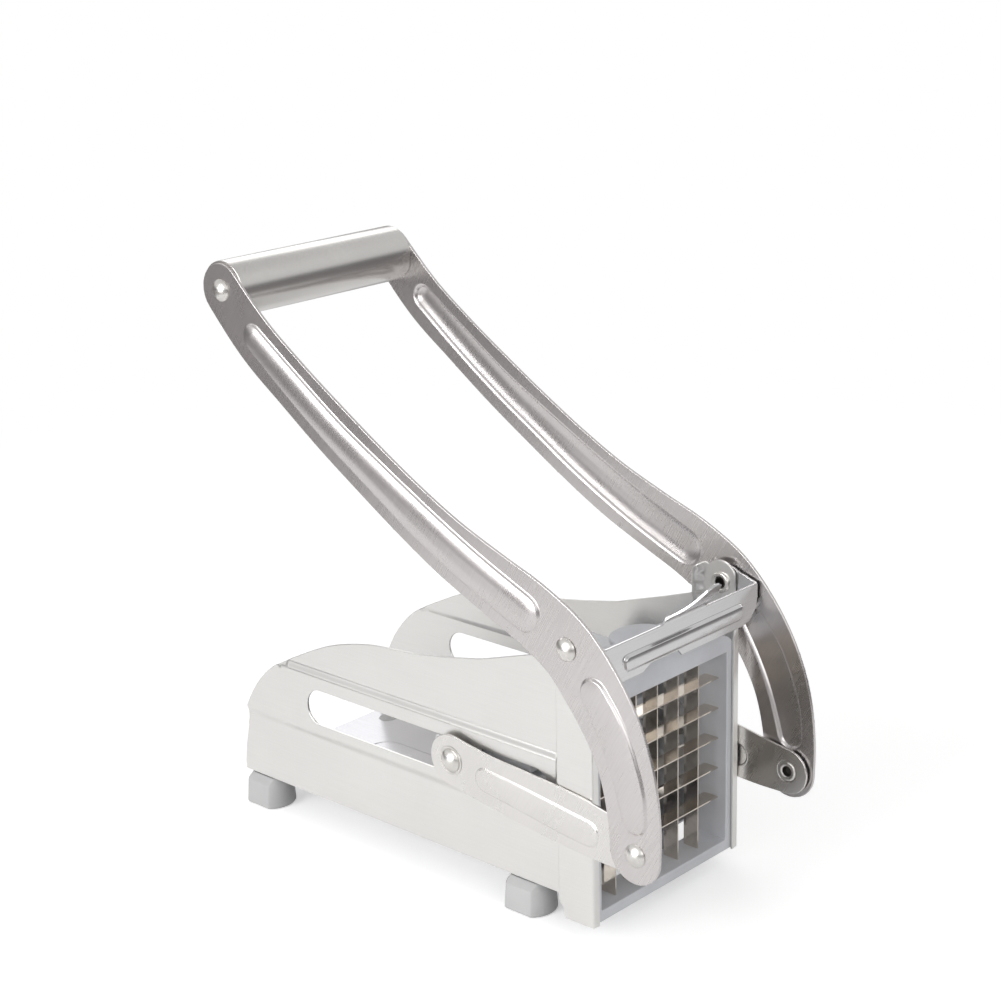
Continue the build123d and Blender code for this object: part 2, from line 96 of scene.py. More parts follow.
class Wire:
    """One output socket that can take part in Python sums."""

    def __init__(self, tree, socket=None):
        self.tree = tree
        self.socket = socket

    def node(self, kind, settings=None, sockets=None, out=0):
        """Add a node: settings first, then socket values or links; returns one output."""
        made = self.tree.nodes.new("ShaderNode" + kind)
        for key, value in (settings or {}).items():
            if key == "stops":
                self.set_stops(made.color_ramp, value)
            else:
                setattr(made, key, value)
        for key, value in (sockets or {}).items():
            if isinstance(value, Wire):
                self.tree.links.new(value.socket, made.inputs[key])
            else:
                made.inputs[key].default_value = value
        return Wire(self.tree, made.outputs[out] if made.outputs else None)

    @staticmethod
    def set_stops(ramp, stops):
        """Give a colour ramp its stops as (position, grey)."""
        while len(ramp.elements) < len(stops):
            ramp.elements.new(0.5)
        for element, (position, grey) in zip(ramp.elements, stops):
            element.position = position
            element.color = (grey, grey, grey, 1)

    def math(self, operation, first, second):
        return self.node("Math", {"operation": operation}, {0: first, 1: second})

    def __add__(self, other):
        return self.math("ADD", self, other)

    def __radd__(self, other):
        return self.math("ADD", other, self)

    def __sub__(self, other):
        return self.math("SUBTRACT", self, other)

    def __rsub__(self, other):
        return self.math("SUBTRACT", other, self)

    def __mul__(self, other):
        return self.math("MULTIPLY", self, other)

    def __rmul__(self, other):
        return self.math("MULTIPLY", other, self)

    def ramp(self, low, high):
        """0 below low, 1 above high, smooth between."""
        return self.node(
            "MapRange",
            {"interpolation_type": "SMOOTHSTEP"},
            {"Value": self, "From Min": low, "From Max": high},
        )

    def blend(self, first, second):
        """A colour between two, led by this wire."""
        sockets = {0: self, 6: first, 7: second}
        return self.node("Mix", {"data_type": "RGBA"}, sockets, out=2)

    def noise(self, scale, detail):
        """A noise over this place, about 0 to 1."""
        return self.node("TexNoise", {}, {"Vector": self, "Scale": scale, "Detail": detail})

    def bump(self, strength, lift):
        """A normal that this height has tilted; lift is in metres."""
        sockets = {"Height": self, "Strength": strength, "Distance": lift}
        return self.node("Bump", {}, sockets)


# %% [markdown]
# Every finish of the cutter is one Principled shader whose colour, roughness and bump change
# a little from place to place. The place comes from the object's own coordinates, so that a
# finish stays on its piece when the piece moves.

# %% Starting and closing a material


def new_material(name):
    """An empty material and a wire into its tree."""
    material = bpy.data.materials.new(name)
    material.use_nodes = True
    material.node_tree.nodes.clear()
    return material, Wire(material.node_tree)


def finish_material(material, tree, colour, roughness, bump, metallic=0.0):
    """Close a material with one Principled shader."""
    sockets = {
        "Base Color": colour,
        "Metallic": metallic,
        "Roughness": roughness,
        "Normal": bump,
    }
    shader = tree.node("BsdfPrincipled", {}, sockets)
    tree.node("OutputMaterial", {}, {"Surface": shader})
    return material


def shade(tint, factor, most=1.0):
    """The tint made darker or paler, as a colour for a socket."""
    return tuple(min(channel * factor, most) for channel in tint) + (1,)


print("a middle grey, a tenth darker:", shade((0.5, 0.5, 0.5), 0.9))

# %% [markdown]
# The sheets are stainless steel with a satin grain: very fine parallel scratches from the
# rolling mill, with soft cloudy patches where the press and the hands have polished it. An
# anisotropic shader would stretch the highlight, but it draws no scratches. The grain here
# is a noise squeezed hard across one direction; it moves the colour and the roughness a
# little, and lifts the surface by a few microns.

# %% Satin steel
GRAIN_ACROSS = 2600.0
GRAIN_ALONG = 70.0
ALONG_X = (GRAIN_ALONG, GRAIN_ACROSS, GRAIN_ACROSS)
ALONG_Y = (GRAIN_ACROSS, GRAIN_ALONG, GRAIN_ACROSS)
CLOUD_SCALE, SCUFF_SCALE = 38.0, 900.0
LINE_SPAN, CLOUD_SPAN = (0.2, 0.8), (0.3, 0.75)
ROUGH_BY_LINE, ROUGH_BY_CLOUD = 0.02, 0.03
GRAIN_BUMP, GRAIN_LIFT = 0.02, 0.00006
BRIGHTEST = 0.96


def satin_steel(name, tint, grain_turn=0.0, rough=0.24, grain=1.0, squeeze=ALONG_X, worn=0.9):
    """Rolled stainless sheet; the grain can be turned about the sheet's normal (Y)."""
    material, tree = new_material(name)
    spot = tree.node("TexCoord", out="Object")
    turn = {"Vector": spot, "Rotation": (0, grain_turn, 0)}
    turned = tree.node("Mapping", {"vector_type": "POINT"}, turn)
    stretched = tree.node("VectorMath", {"operation": "MULTIPLY"}, {0: turned, 1: squeeze})
    lines = stretched.noise(1.0, 2.0).ramp(*LINE_SPAN)
    clouds = spot.noise(CLOUD_SCALE, 3.0).ramp(*CLOUD_SPAN)
    scuffs = spot.noise(SCUFF_SCALE, 2.0)
    bright = shade(tint, (2.0 - worn) ** 0.5, BRIGHTEST)
    colour = (lines * 0.6 + clouds * 0.4).blend(shade(tint, worn), bright)
    roughness = rough + (lines - 0.5) * ROUGH_BY_LINE * grain + (clouds - 0.5) * ROUGH_BY_CLOUD
    bump = (lines * 0.8 + scuffs * 0.2).bump(GRAIN_BUMP * grain, GRAIN_LIFT)
    return finish_material(material, tree, colour, roughness, bump, metallic=1.0)


# %% [markdown]
# One recipe, eight steels. The panels are the palest and have the faintest grain. The arms
# and links have their grain turned across the strip, the clip has it from side to side, and
# the rest differ in how grey and how rough they are.

# %% Eight satin steels
ACROSS_ARM = math.radians(60)
panel_steel = satin_steel("panel_steel", (0.83, 0.82, 0.80), rough=0.30, grain=0.2, worn=0.97)
arm_steel = satin_steel("arm_steel", (0.68, 0.65, 0.645), ACROSS_ARM, rough=0.28, worn=0.92)
link_steel = satin_steel("link_steel", (0.81, 0.79, 0.77), ACROSS_ARM, rough=0.28, grain=0.5,
                         worn=0.96)
clip_steel = satin_steel("clip_steel", (0.74, 0.735, 0.74), rough=0.20, grain=0.5,
                         squeeze=ALONG_Y)
floor_steel = satin_steel("floor_steel", (0.64, 0.635, 0.66), rough=0.26, grain=0.5)
grip_steel = satin_steel("grip_steel", (0.72, 0.70, 0.68), rough=0.26, grain=0.5)
washer_steel = satin_steel("washer_steel", (0.70, 0.69, 0.68), rough=0.24, grain=0.6)
bracket_steel = satin_steel("bracket_steel", (0.72, 0.71, 0.70), rough=0.24, grain=0.8)
print("nodes in one satin steel:", len(panel_steel.node_tree.nodes))

# %% [markdown]
# Rivet heads and blades are smooth: the heads are set by a polished tool and the blades are
# ground and buffed. They keep only a faint haze of fine scratches. The blades' brownish tint
# is a painted reflection, laid on the steel's own grey: a mirror in a dark trough shows
# mostly the trough.

# %% Polished steel
HAZE_SCALE, SCRATCH_SCALE = 260.0, 1500.0
HAZE_SPAN = (0.35, 0.7)
ROUGH_BY_HAZE = 0.06
SCRATCH_BUMP, SCRATCH_LIFT = 0.05, 0.00003


def polished_steel(name, tint, rough):
    """Bright steel with faint cloudy wear."""
    material, tree = new_material(name)
    spot = tree.node("TexCoord", out="Object")
    haze = spot.noise(HAZE_SCALE, 4.0).ramp(*HAZE_SPAN)
    bump = spot.noise(SCRATCH_SCALE, 2.0).bump(SCRATCH_BUMP, SCRATCH_LIFT)
    colour = haze.blend(shade(tint, 1.0), shade(tint, 0.9))
    roughness = rough + haze * ROUGH_BY_HAZE
    return finish_material(material, tree, colour, roughness, bump, metallic=1.0)


rivet_steel = polished_steel("rivet_steel", (0.78, 0.76, 0.73), 0.27)
# A near-black steel that paints the shade deep inside the rivets' bores.
painted_shade_bore_steel = polished_steel("painted_shade_bore_steel", (0.14, 0.13, 0.12), 0.45)
# The blades' brownish tint is a painted reflection of the trough on top of the steel's grey.
blade_steel = polished_steel("blade_steel", (0.74, 0.68, 0.61), 0.12)
print("polished steels:", rivet_steel.name, painted_shade_bore_steel.name, blade_steel.name)

# %% [markdown]
# The cassette, the pusher, the slide blocks and the feet are moulded plastic. A fine even
# grain from the spark-eroded mould keeps them matte, and the grey is never quite even.

# %% Moulded plastic
MOULD_SCALE, FLOW_SCALE = 2600.0, 55.0
FLOW_SPAN = (0.3, 0.7)
ROUGH_BY_MOULD = 0.12
MOULD_BUMP, MOULD_LIFT = 0.15, 0.00005


def moulded_plastic(name, tint, rough=0.45):
    """Matte grey moulding with a fine mould grain."""
    material, tree = new_material(name)
    spot = tree.node("TexCoord", out="Object")
    grain = spot.noise(MOULD_SCALE, 2.0)
    flow = spot.noise(FLOW_SCALE, 3.0).ramp(*FLOW_SPAN)
    colour = flow.blend(shade(tint, 0.93), shade(tint, 1.05, 0.9))
    roughness = rough + (grain - 0.5) * ROUGH_BY_MOULD
    bump = grain.bump(MOULD_BUMP, MOULD_LIFT)
    return finish_material(material, tree, colour, roughness, bump)


cassette_plastic = moulded_plastic("cassette_plastic", (0.64, 0.65, 0.68))
foot_plastic = moulded_plastic("foot_plastic", (0.41, 0.41, 0.41), 0.42)
pusher_plastic = moulded_plastic("pusher_plastic", (0.58, 0.59, 0.61))
slide_plastic = moulded_plastic("slide_plastic", (0.52, 0.52, 0.52), 0.38)
print("mouldings:", cassette_plastic.name, foot_plastic.name, pusher_plastic.name)

# %% [markdown]
# A pressed sheet starts as a flat blank: an outline with holes in it. To fill it, each spot
# has to be known as steel or as air. A line drawn from the spot to one side crosses an
# outline an odd number of times if the spot lies inside.

# %% On the blank or off it
TINY = 1e-9


def closed(loop):
    """The loop with its first point added again at its end."""
    return np.vstack([loop, loop[:1]])


def inside(loop, spots):
    """Which spots lie inside a closed loop (even-odd rule)."""
    x, z = spots[:, 0][:, None], spots[:, 1][:, None]
    ax, az = loop[:, 0][None], loop[:, 1][None]
    bx, bz = np.roll(ax, -1, 1), np.roll(az, -1, 1)
    crosses = (az > z) != (bz > z)
    reach = (bx - ax) * (z - az) / np.where(bz == az, TINY, bz - az) + ax
    return (crosses & (x < reach)).sum(1) % 2 == 1


def on_blank(loops, spots):
    """Which spots lie inside the outline, loops[0], and outside every hole."""
    keep = inside(loops[0], spots)
    for hole in loops[1:]:
        keep &= ~inside(hole, spots)
    return keep


trial = np.array([(0, 0), (10, 0), (10, 10), (0, 10)], float)
print("a spot on a trial square, and one off it:", on_blank([trial], np.array([(5, 5), (15, 5)])))

# %% [markdown]
# One big face would bend badly, so a constrained triangulation fills the blank with a fine
# even net. Its edges follow the outline, the holes and every line along which the press
# bends the sheet. The rows are staggered, which keeps the triangles close to equal.

# %% Filling a blank
ROW_SHARE = 0.87
CLEAR_SHARE = 0.55
SAME_SPOT = 1e-5


def net_points(loops, guides, pitch):
    """Staggered points at the pitch, clear of every line."""
    low, high = loops[0].min(0), loops[0].max(0)
    columns = np.arange(low[0] + pitch / 2, high[0], pitch)
    rows = np.arange(low[1] + pitch / 2, high[1], pitch * ROW_SHARE)
    x, z = np.meshgrid(columns, rows)
    x = x + (np.arange(len(rows)) % 2)[:, None] * pitch / 2
    spots = np.stack([x.ravel(), z.ravel()], 1)
    spots = spots[on_blank(loops, spots)]
    lines = np.concatenate(list(loops) + list(guides))
    tree = kdtree.KDTree(len(lines))
    for i, (a, b) in enumerate(lines):
        tree.insert((a, b, 0), i)
    tree.balance()
    clear = [tree.find((a, b, 0))[2] > pitch * CLEAR_SHARE for a, b in spots]
    return spots[np.array(clear, bool)]


def fill_net(loops, guides, pitch):
    """Spots and triangles of the net, and which line point each spot was, or -1."""
    points, edges = [], []
    for is_loop, lines in ((True, loops), (False, guides)):
        for line in lines:
            first = len(points)
            points.extend(map(tuple, line))
            edges += [(first + i, first + i + 1) for i in range(len(line) - 1)]
            if is_loop:
                edges.append((len(points) - 1, first))
    marked = len(points)
    points.extend(map(tuple, net_points(loops, guides, pitch)))
    flat = [Vector(p) for p in points]
    verts, _, faces, origins, _, _ = geometry.delaunay_2d_cdt(flat, edges, [], 0, SAME_SPOT)
    spots = np.array([tuple(v) for v in verts])
    tris = np.array([f for f in faces if len(f) == 3])
    source = np.array([min(o) if o and min(o) < marked else -1 for o in origins])
    return spots, tris[on_blank(loops, spots[tris].mean(1))], source


trial_spots, trial_tris, _ = fill_net([trial], [], 2.0)
print(f"the trial square's net: {len(trial_spots)} spots, {len(trial_tris)} triangles")

# %% [markdown]
# Sheared edges of thin steel are never knife sharp. Two rings just inside each edge let the
# sheet turn over through a quarter round. A bevel modifier could round it too, but here the
# normals are worked out from the shape itself, so that the highlight rolls cleanly over the
# rim and the net stays even.

# %% Rings inside an edge
EDGE_TURN = math.pi / 2
RING_TURNS = (math.pi / 4, 0.0)
SHARPEST = 0.5


def inset_loop(loop, by):
    """The loop moved by a distance to its left side, and the way to that side."""
    before = loop - np.roll(loop, 1, 0)
    after = np.roll(loop, -1, 0) - loop
    before /= np.linalg.norm(before, axis=1)[:, None]
    after /= np.linalg.norm(after, axis=1)[:, None]
    bisector = before + after
    bisector /= np.maximum(np.linalg.norm(bisector, axis=1), TINY)[:, None]
    left = np.stack([-bisector[:, 1], bisector[:, 0]], 1)
    stretch = np.clip((bisector * after).sum(1), SHARPEST, 1.0)
    return loop + left * (by / stretch)[:, None], left


def turn_left(loop, hole=False):
    """Run the outline anticlockwise and a hole clockwise, so that the sheet is on the left."""
    x, z = loop[:, 0], loop[:, 1]
    area = (x * np.roll(z, -1) - np.roll(x, -1) * z).sum()
    return loop[::-1] if (area > 0) == hole else loop


def rim_rings(loops, rim):
    """The rings, and for every point of loops and rings its left side and its turn."""
    rings = []
    lefts = [inset_loop(loop, 0.0)[1] for loop in loops]
    turns = [EDGE_TURN] * sum(map(len, loops))
    for turn in RING_TURNS:
        for loop in loops:
            ring, left = inset_loop(loop, rim * (1 - math.sin(turn)))
            rings.append(closed(ring))
            lefts.append(closed(left))
            turns += [turn] * len(rings[-1])
    return rings, np.vstack(lefts), np.array(turns)


trial_rings = rim_rings([turn_left(trial)], 0.3)[0]
print("rings inside the trial square's edge:", len(trial_rings))

# %% [markdown]
# A surface is a function of the blank's flat coordinates, as the tool of a press is. The net
# is laid on it, the rim turns over, and a second copy one thickness further in closes the
# sheet. A solidify modifier would do the same, but not with a rim of its own.

# %% Pressing a blank
PROBE = 0.01


def surface_frame(surface, spots, out):
    """Place, normal and outward way of the outer face at every spot of the blank."""
    s, t = spots[:, 0], spots[:, 1]
    along_s = (surface(s + PROBE, t) - surface(s - PROBE, t)) / (2 * PROBE)
    along_t = (surface(s, t + PROBE) - surface(s, t - PROBE)) / (2 * PROBE)
    normal = np.cross(along_t, along_s)
    normal /= np.linalg.norm(normal, axis=1)[:, None]
    outward = along_s * out[:, :1] + along_t * out[:, 1:]
    length = np.maximum(np.linalg.norm(outward, axis=1), TINY)
    return surface(s, t), normal, outward / length[:, None]


def sheet_faces(tris, count):
    """Faces of both sides of a sheet and of the walls between them."""
    tris = tris.tolist()
    sides = dict.fromkeys((tri[k], tri[(k + 1) % 3]) for tri in tris for k in range(3))
    faces = [tuple(tri[::-1]) for tri in tris]
    faces += [tuple(v + count for v in tri) for tri in tris]
    return faces + [(a, b, b + count, a + count) for a, b in sides if (b, a) not in sides]


def pressed(outline, surface, thick, holes=(), guides=(), pitch=1.5, rim=0.28):
    """A pressed sheet: verts, faces and normals. surface(s, t) gives its outer face."""
    loops = [turn_left(np.array(outline, float))]
    loops += [turn_left(np.array(hole, float), hole=True) for hole in holes]
    rings, lefts, turns = rim_rings(loops, rim)
    spots, tris, source = fill_net(loops, rings + list(guides), pitch)
    on_rim = (source >= 0) & (source < len(turns))
    turn, out = np.zeros(len(spots)), np.zeros((len(spots), 2))
    turn[on_rim] = turns[source[on_rim]]
    out[on_rim] = -lefts[source[on_rim]]
    place, normal, outward = surface_frame(surface, spots, out)
    drop = (rim * (1 - np.cos(turn)))[:, None]
    lean, rise = np.sin(turn)[:, None], np.cos(turn)[:, None]
    verts = np.vstack([place - normal * drop, place - normal * (thick - drop)])
    normals = np.vstack([normal * rise + outward * lean, outward * lean - normal * rise])
    return verts, sheet_faces(tris, len(spots)), normals


def flat_face(axis, level):
    """A surface for a flat piece that faces X, Y or Z and lies at a level."""
    def face(s, t):
        there = np.full(len(s), level)
        ways = {"X": (there, -s, t), "Y": (s, there, t), "Z": (t, s, there)}
        return np.stack(ways[axis], 1)
    return face


trial_verts, trial_faces, _ = pressed(trial, flat_face("Z", 0.0), SHEET, pitch=2.0)
print(f"the trial square, pressed: {len(trial_verts)} verts, {len(trial_faces)} faces")

# %% [markdown]
# Every piece ends the same way: its mesh is scaled into the frame, takes its normals and its
# material, rides on a body of the part and stands for the CAD nodes that it replaces. Near
# pieces are the far ones mirrored in the middle plane.

# %% Placing a piece
SHARP_ANGLE = math.radians(38)


def joined(*shapes):
    """Several closed shapes as one."""
    verts, faces, normals = [], [], []
    for more_verts, more_faces, more_normals in shapes:
        start = sum(map(len, verts))
        verts.append(np.array(more_verts, float))
        faces += [tuple(v + start for v in face) for face in more_faces]
        normals.append(more_normals)
    given = all(n is not None for n in normals)
    return np.vstack(verts), faces, np.vstack(normals) if given else None


def mirrored(shape):
    """The shape on the other side of the middle plane."""
    verts, faces, normals = shape
    flip = np.array([1.0, -1.0, 1.0])
    turned_faces = [face[::-1] for face in faces]
    return verts * flip, turned_faces, None if normals is None else normals * flip


def paired(shape):
    """The shape on both sides, as one."""
    return joined(shape, mirrored(shape))


def place(name, shape, material, body, slot, nodes):
    """Turn verts, faces and normals into a piece of the cutter."""
    verts, faces, normals = shape
    mesh = bpy.data.meshes.new(name)
    mesh.from_pydata([tuple(v) for v in verts], [], faces)
    mesh.transform(TO_FRAME)
    mesh.materials.append(material)
    mesh.shade_smooth()
    if normals is None:
        mesh.set_sharp_from_angle(angle=SHARP_ANGLE)
    else:
        mesh.normals_split_custom_set_from_vertices([tuple(n) for n in normals])
    piece = bpy.data.objects.new(name, mesh)
    bpy.context.scene.collection.objects.link(piece)
    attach(piece, body)
    if nodes:
        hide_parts(*nodes)
    print(f"{name}: {len(mesh.polygons)} faces")


def place_sides(name, shape, material, body, slot, node):
    """A far piece and its near mirror image; {} in a name stands for the side."""
    for side, form in (("far", shape), ("near", mirrored(shape))):
        place(name.format(side), form, material, body.format(side), slot, [node.format(side)])


# %% [markdown]
# The arms and links are strips of changing width around a curved middle line. A curve object
# with a bevel could draw them, but it takes no holes and no pressed ridge. A smooth run
# through a few stations gives the line and the half width together, and the outline is that
# line set off to both sides with a round end.

# %% Strips of changing width


def smooth_run(stations, step=1.2):
    """Points every step along a smooth curve through the stations."""
    points = np.array(stations, float)
    gaps = np.linalg.norm(np.diff(points[:, :2], axis=0), axis=1)
    along = np.concatenate([[0.0], np.cumsum(gaps)])
    slopes = np.diff(points, axis=0) / gaps[:, None]
    before, after = gaps[:-1, None], gaps[1:, None]
    tangents = np.empty_like(points)
    tangents[1:-1] = (slopes[:-1] * after + slopes[1:] * before) / (before + after)
    tangents[0] = slopes[0] * 1.5 - tangents[1] * 0.5
    tangents[-1] = slopes[-1] * 1.5 - tangents[-2] * 0.5
    spots = np.linspace(0, along[-1], int(along[-1] / step) + 2)
    i = np.clip(np.searchsorted(along, spots, side="right") - 1, 0, len(gaps) - 1)
    t = ((spots - along[i]) / gaps[i])[:, None]
    h = gaps[i][:, None]
    start = (2 * t**3 - 3 * t**2 + 1) * points[i] + (t**3 - 2 * t**2 + t) * h * tangents[i]
    end = (3 * t**2 - 2 * t**3) * points[i + 1] + (t**3 - t**2) * h * tangents[i + 1]
    return start + end


def strip_outline(run, inset=0.0, cap=14):
    """Closed outline of a strip with round ends."""
    line, half = run[:, :2], (run[:, 2] - inset)[:, None]
    way = np.gradient(line, axis=0)
    way /= np.linalg.norm(way, axis=1)[:, None]
    side = np.stack([-way[:, 1], way[:, 0]], 1)
    angle = np.linspace(0, math.pi, cap + 1)[1:-1, None]
    nose = line[-1] + half[-1] * (np.cos(angle) * side[-1] + np.sin(angle) * way[-1])
    tail = line[0] - half[0] * (np.cos(angle) * side[0] + np.sin(angle) * way[0])
    return np.vstack([line + side * half, nose, (line - side * half)[::-1], tail])


def circle(middle, radius, count=40):
    """A round hole in a blank."""
    angle = np.linspace(0, 2 * math.pi, count, endpoint=False)
    return np.stack([middle[0] + radius * np.cos(angle), middle[1] + radius * np.sin(angle)], 1)


trial_run = smooth_run([(0, 0, 5), (20, 0, 5), (40, 10, 4)])
print(f"a trial strip: {len(trial_run)} stations, {len(strip_outline(trial_run))} rim points")

# %% [markdown]
# A stiffening bead is a hollow ridge pressed into the strip. Its flank climbs steeply from
# the flat margin and turns sharply into a broad, gently crowned back. That crown is what
# draws the long highlight and the dark band beside it down each arm, so the bead is real
# height, not a bump. The depth inside the bead's own outline says how high it stands.

# %% Beads
FLANK_SHARES = (-0.15, 0.0, 0.2, 0.4, 0.6, 0.8, 1.0, 1.25)


def depth_in(run, x, z):
    """How deep a point lies inside a strip, negative outside."""
    spots = np.stack([x, z], 1)
    gaps = np.linalg.norm(spots[:, None, :] - run[None, :, :2], axis=2)
    depths = run[:, 2][None] - gaps
    # the deepest of the run's points and its neighbours lie on a parabola; take its peak
    row, best = np.arange(len(depths)), np.clip(depths.argmax(1), 1, len(run) - 2)
    before, here, after = (depths[row, best + k] for k in (-1, 0, 1))
    bend = np.maximum(2 * here - before - after, 1e-6)
    shift = np.clip((after - before) / (2 * bend), -1, 1)
    return here + shift * (after - before) / 2 - shift**2 * bend / 2


def ridge(depth, flank, step_up, crown, width, shoulder=0.6):
    """Height at a depth: a steep flank, then a crowned back that is roundest at its edge."""
    climb = np.clip(depth / flank, 0, 1)
    climb = climb * climb * (3 - 2 * climb)
    back = np.clip((depth - flank * shoulder) / width, 0, 1)
    return step_up * climb + crown * (1 - (1 - back) ** 2)


def bead_guides(run, flank):
    """Lines of the net along a bead's flank."""
    return [closed(strip_outline(run, inset=flank * share)) for share in FLANK_SHARES]


trial_depth = depth_in(trial_run, np.array([20.0]), np.array([0.0]))
print(f"the trial strip's middle line lies {trial_depth[0]:.1f} mm deep")

# %% [markdown]
# The arms sweep forward from the grip, over the ear rivets and down to the links. Each has
# two beads: a long one above the pivot and a short one below it. Stations hold x, z and half
# width, closer together where the strip bends more.

# %% Lines of the arms
ARM_LINE = [
    (GRIP[0], GRIP[1], 10.2),
    (-154.3, 145.3, 10.6),
    (-134.3, 130.8, 10.6),
    (-114.8, 117.7, 11.0),
    (-94.0, 104.7, 11.2),
    (-77.3, 94.8, 11.5),
    (-56.3, 83.7, 12.0),
    (-36.7, 75.4, 12.5),
    (-17.0, 67.3, 13.1),
    (-3.2, 59.3, 13.4),
    (6.9, 48.8, 13.6),
    (16.0, 36.0, 13.1),
    (21.9, 23.0, 12.4),
    (25.6, 5.0, 11.5),
    (26.2, -8.2, 10.8),
]
LONG_BEAD = [
    (-154.5, 146.0, 5.6),
    (-134.3, 131.2, 6.1),
    (-110.0, 114.7, 6.4),
    (-94.0, 105.2, 6.8),
    (-77.0, 95.2, 7.4),
    (-49.0, 80.4, 7.7),
    (-21.8, 68.4, 7.7),
]
SHORT_BEAD = [
    (9.2, 45.8, 6.4),
    (15.6, 36.4, 7.0),
    (21.4, 24.4, 7.0),
    (25.2, 12.2, 6.6),
    (26.4, 5.0, 5.7),
]
arm_run = smooth_run(ARM_LINE)
arm_reach = np.linalg.norm(np.diff(arm_run[:, :2], axis=0), axis=1).sum()
print(f"each arm is {arm_reach:.0f} mm long from the grip to the link")

# %% [markdown]
# The long bead rises in two stages, a sharp step and a broad crown; the short one is mostly
# step. Both rise over the same width of flank, so that they meet the margin alike. The holes
# are a hair wider than the pins, and the fine pitch keeps the flanks smooth.

# %% The two arms
ARM_FLANK = 1.3
LONG_FORM = {"flank": ARM_FLANK, "step_up": 0.75, "crown": 1.15, "width": 5.6}
SHORT_FORM = {"flank": ARM_FLANK, "step_up": 1.0, "crown": 0.35, "width": 5.6}
long_bead, short_bead = smooth_run(LONG_BEAD), smooth_run(SHORT_BEAD)


def arm_face(s, t):
    """Outer face of the far arm over the blank's (x, z)."""
    lift = ridge(depth_in(long_bead, s, t), **LONG_FORM)
    lift = lift + ridge(depth_in(short_bead, s, t), **SHORT_FORM)
    return np.stack([s, HEAD_Y + lift, t], 1)


arm_guides = bead_guides(long_bead, ARM_FLANK) + bead_guides(short_bead, ARM_FLANK)
arm_holes = [circle(spot, HOLE_R) for spot in (PIVOT, LINK_PIN, GRIP)]
arm_shape = pressed(strip_outline(arm_run), arm_face, ARM_SHEET, arm_holes, arm_guides,
                    pitch=0.9)
place_sides("{}_pressed_arm", arm_shape, arm_steel, "handle", "arm_steel", "{}_arm")

# %% [markdown]
# Each link is a shorter strip that joins the arm's lower end to the pusher's slide pin. Its
# bead is low, because the arm swings over it. The front hole is wide: the lower rivet's
# rolled end sits in it.

# %% The two links
LINK_LINE = [
    (TAIL_PIN[0], TAIL_PIN[1], 10.0),
    (-45.0, -1.4, 9.9),
    (-25.0, -3.5, 10.6),
    (0.0, -5.8, 10.7),
    (16.0, -7.5, 9.7),
    (LINK_PIN[0], LINK_PIN[1], 8.8),
]
LINK_BEAD = [
    (-44.4, -1.9, 4.9),
    (-25.0, -4.1, 5.2),
    (-8.0, -6.4, 5.4),
    (4.0, -7.7, 5.2),
]
LINK_FORM = {"flank": 0.9, "step_up": 0.45, "crown": 0.3, "width": 4.3}
LINK_HOLE_R = 4.1
link_bead = smooth_run(LINK_BEAD)


def link_face(s, t):
    """Outer face of the far link."""
    lift = ridge(depth_in(link_bead, s, t), **LINK_FORM)
    return np.stack([s, LINK_Y + SHEET + lift, t], 1)


link_holes = [circle(LINK_PIN, LINK_HOLE_R), circle(TAIL_PIN, PIN_R)]
link_shape = pressed(strip_outline(smooth_run(LINK_LINE)), link_face, SHEET, link_holes,
                     bead_guides(link_bead, LINK_FORM["flank"]), pitch=1.0)
place_sides("{}_pressed_link", link_shape, link_steel, "{}_link", "link_steel", "{}_link")

# %% [markdown]
# Sheet steel bends round a small radius, never in a crease. A step in a sheet is therefore a
# straight ramp with rounded corners. Written as a function, it can be laid anywhere on a
# blank.

# %% Rounded steps


def soft_start(x, corner, radius):
    """max(0, x - corner) with its corner rounded."""
    near = (x - corner + radius) ** 2 / (4 * radius)
    far = np.where(x > corner + radius, x - corner, near)
    return np.where(x < corner - radius, 0.0, far)


def soft_ramp(x, low, high, radius):
    """0 before low, 1 after high, straight between, with rounded corners."""
    return (soft_start(x, low, radius) - soft_start(x, high, radius)) / (high - low)


ramp_marks = soft_ramp(np.array([-1.0, 0.0, 1.0, 2.0, 3.0]), 0.0, 2.0, 0.5)
print("a step from 0 to 2, at -1, 0, 1, 2 and 3:", ramp_marks.round(3))

# %% [markdown]
# Outlines are lists of corners and arcs. Their long sides are divided to suit the net, and
# straight lines of the net are laid along each bend.

# %% Outlines and net lines


def arc_points(start, through, end, count):
    """Points on the circle through three points."""
    (ax, az), (bx, bz), (cx, cz) = start, through, end
    d = 2 * (ax * (bz - cz) + bx * (cz - az) + cx * (az - bz))
    sq = [ax * ax + az * az, bx * bx + bz * bz, cx * cx + cz * cz]
    ux = (sq[0] * (bz - cz) + sq[1] * (cz - az) + sq[2] * (az - bz)) / d
    uz = (sq[0] * (cx - bx) + sq[1] * (ax - cx) + sq[2] * (bx - ax)) / d
    radius = math.hypot(ax - ux, az - uz)
    first = math.atan2(az - uz, ax - ux)
    middle = (math.atan2(bz - uz, bx - ux) - first) % (2 * math.pi)
    last = (math.atan2(cz - uz, cx - ux) - first) % (2 * math.pi)
    sweep = last if middle < last else last - 2 * math.pi
    turns = [first + sweep * k / count for k in range(count + 1)]
    return [(ux + radius * math.cos(a), uz + radius * math.sin(a)) for a in turns]


def finer(loop, longest):
    """Divide long sides so that no net edge is much longer than the pitch."""
    points = []
    for a, b in zip(loop, np.roll(loop, -1, 0)):
        parts = max(1, int(np.linalg.norm(b - a) / longest))
        points += [a + (b - a) * k / parts for k in range(parts)]
    return np.array(points)


def level_guides(heights, start, end, step=2.0):
    """Net lines along the sheet at several heights."""
    spots = np.linspace(start, end, int((end - start) / step) + 2)
    return [np.stack([spots, np.full(len(spots), z)], 1) for z in heights]


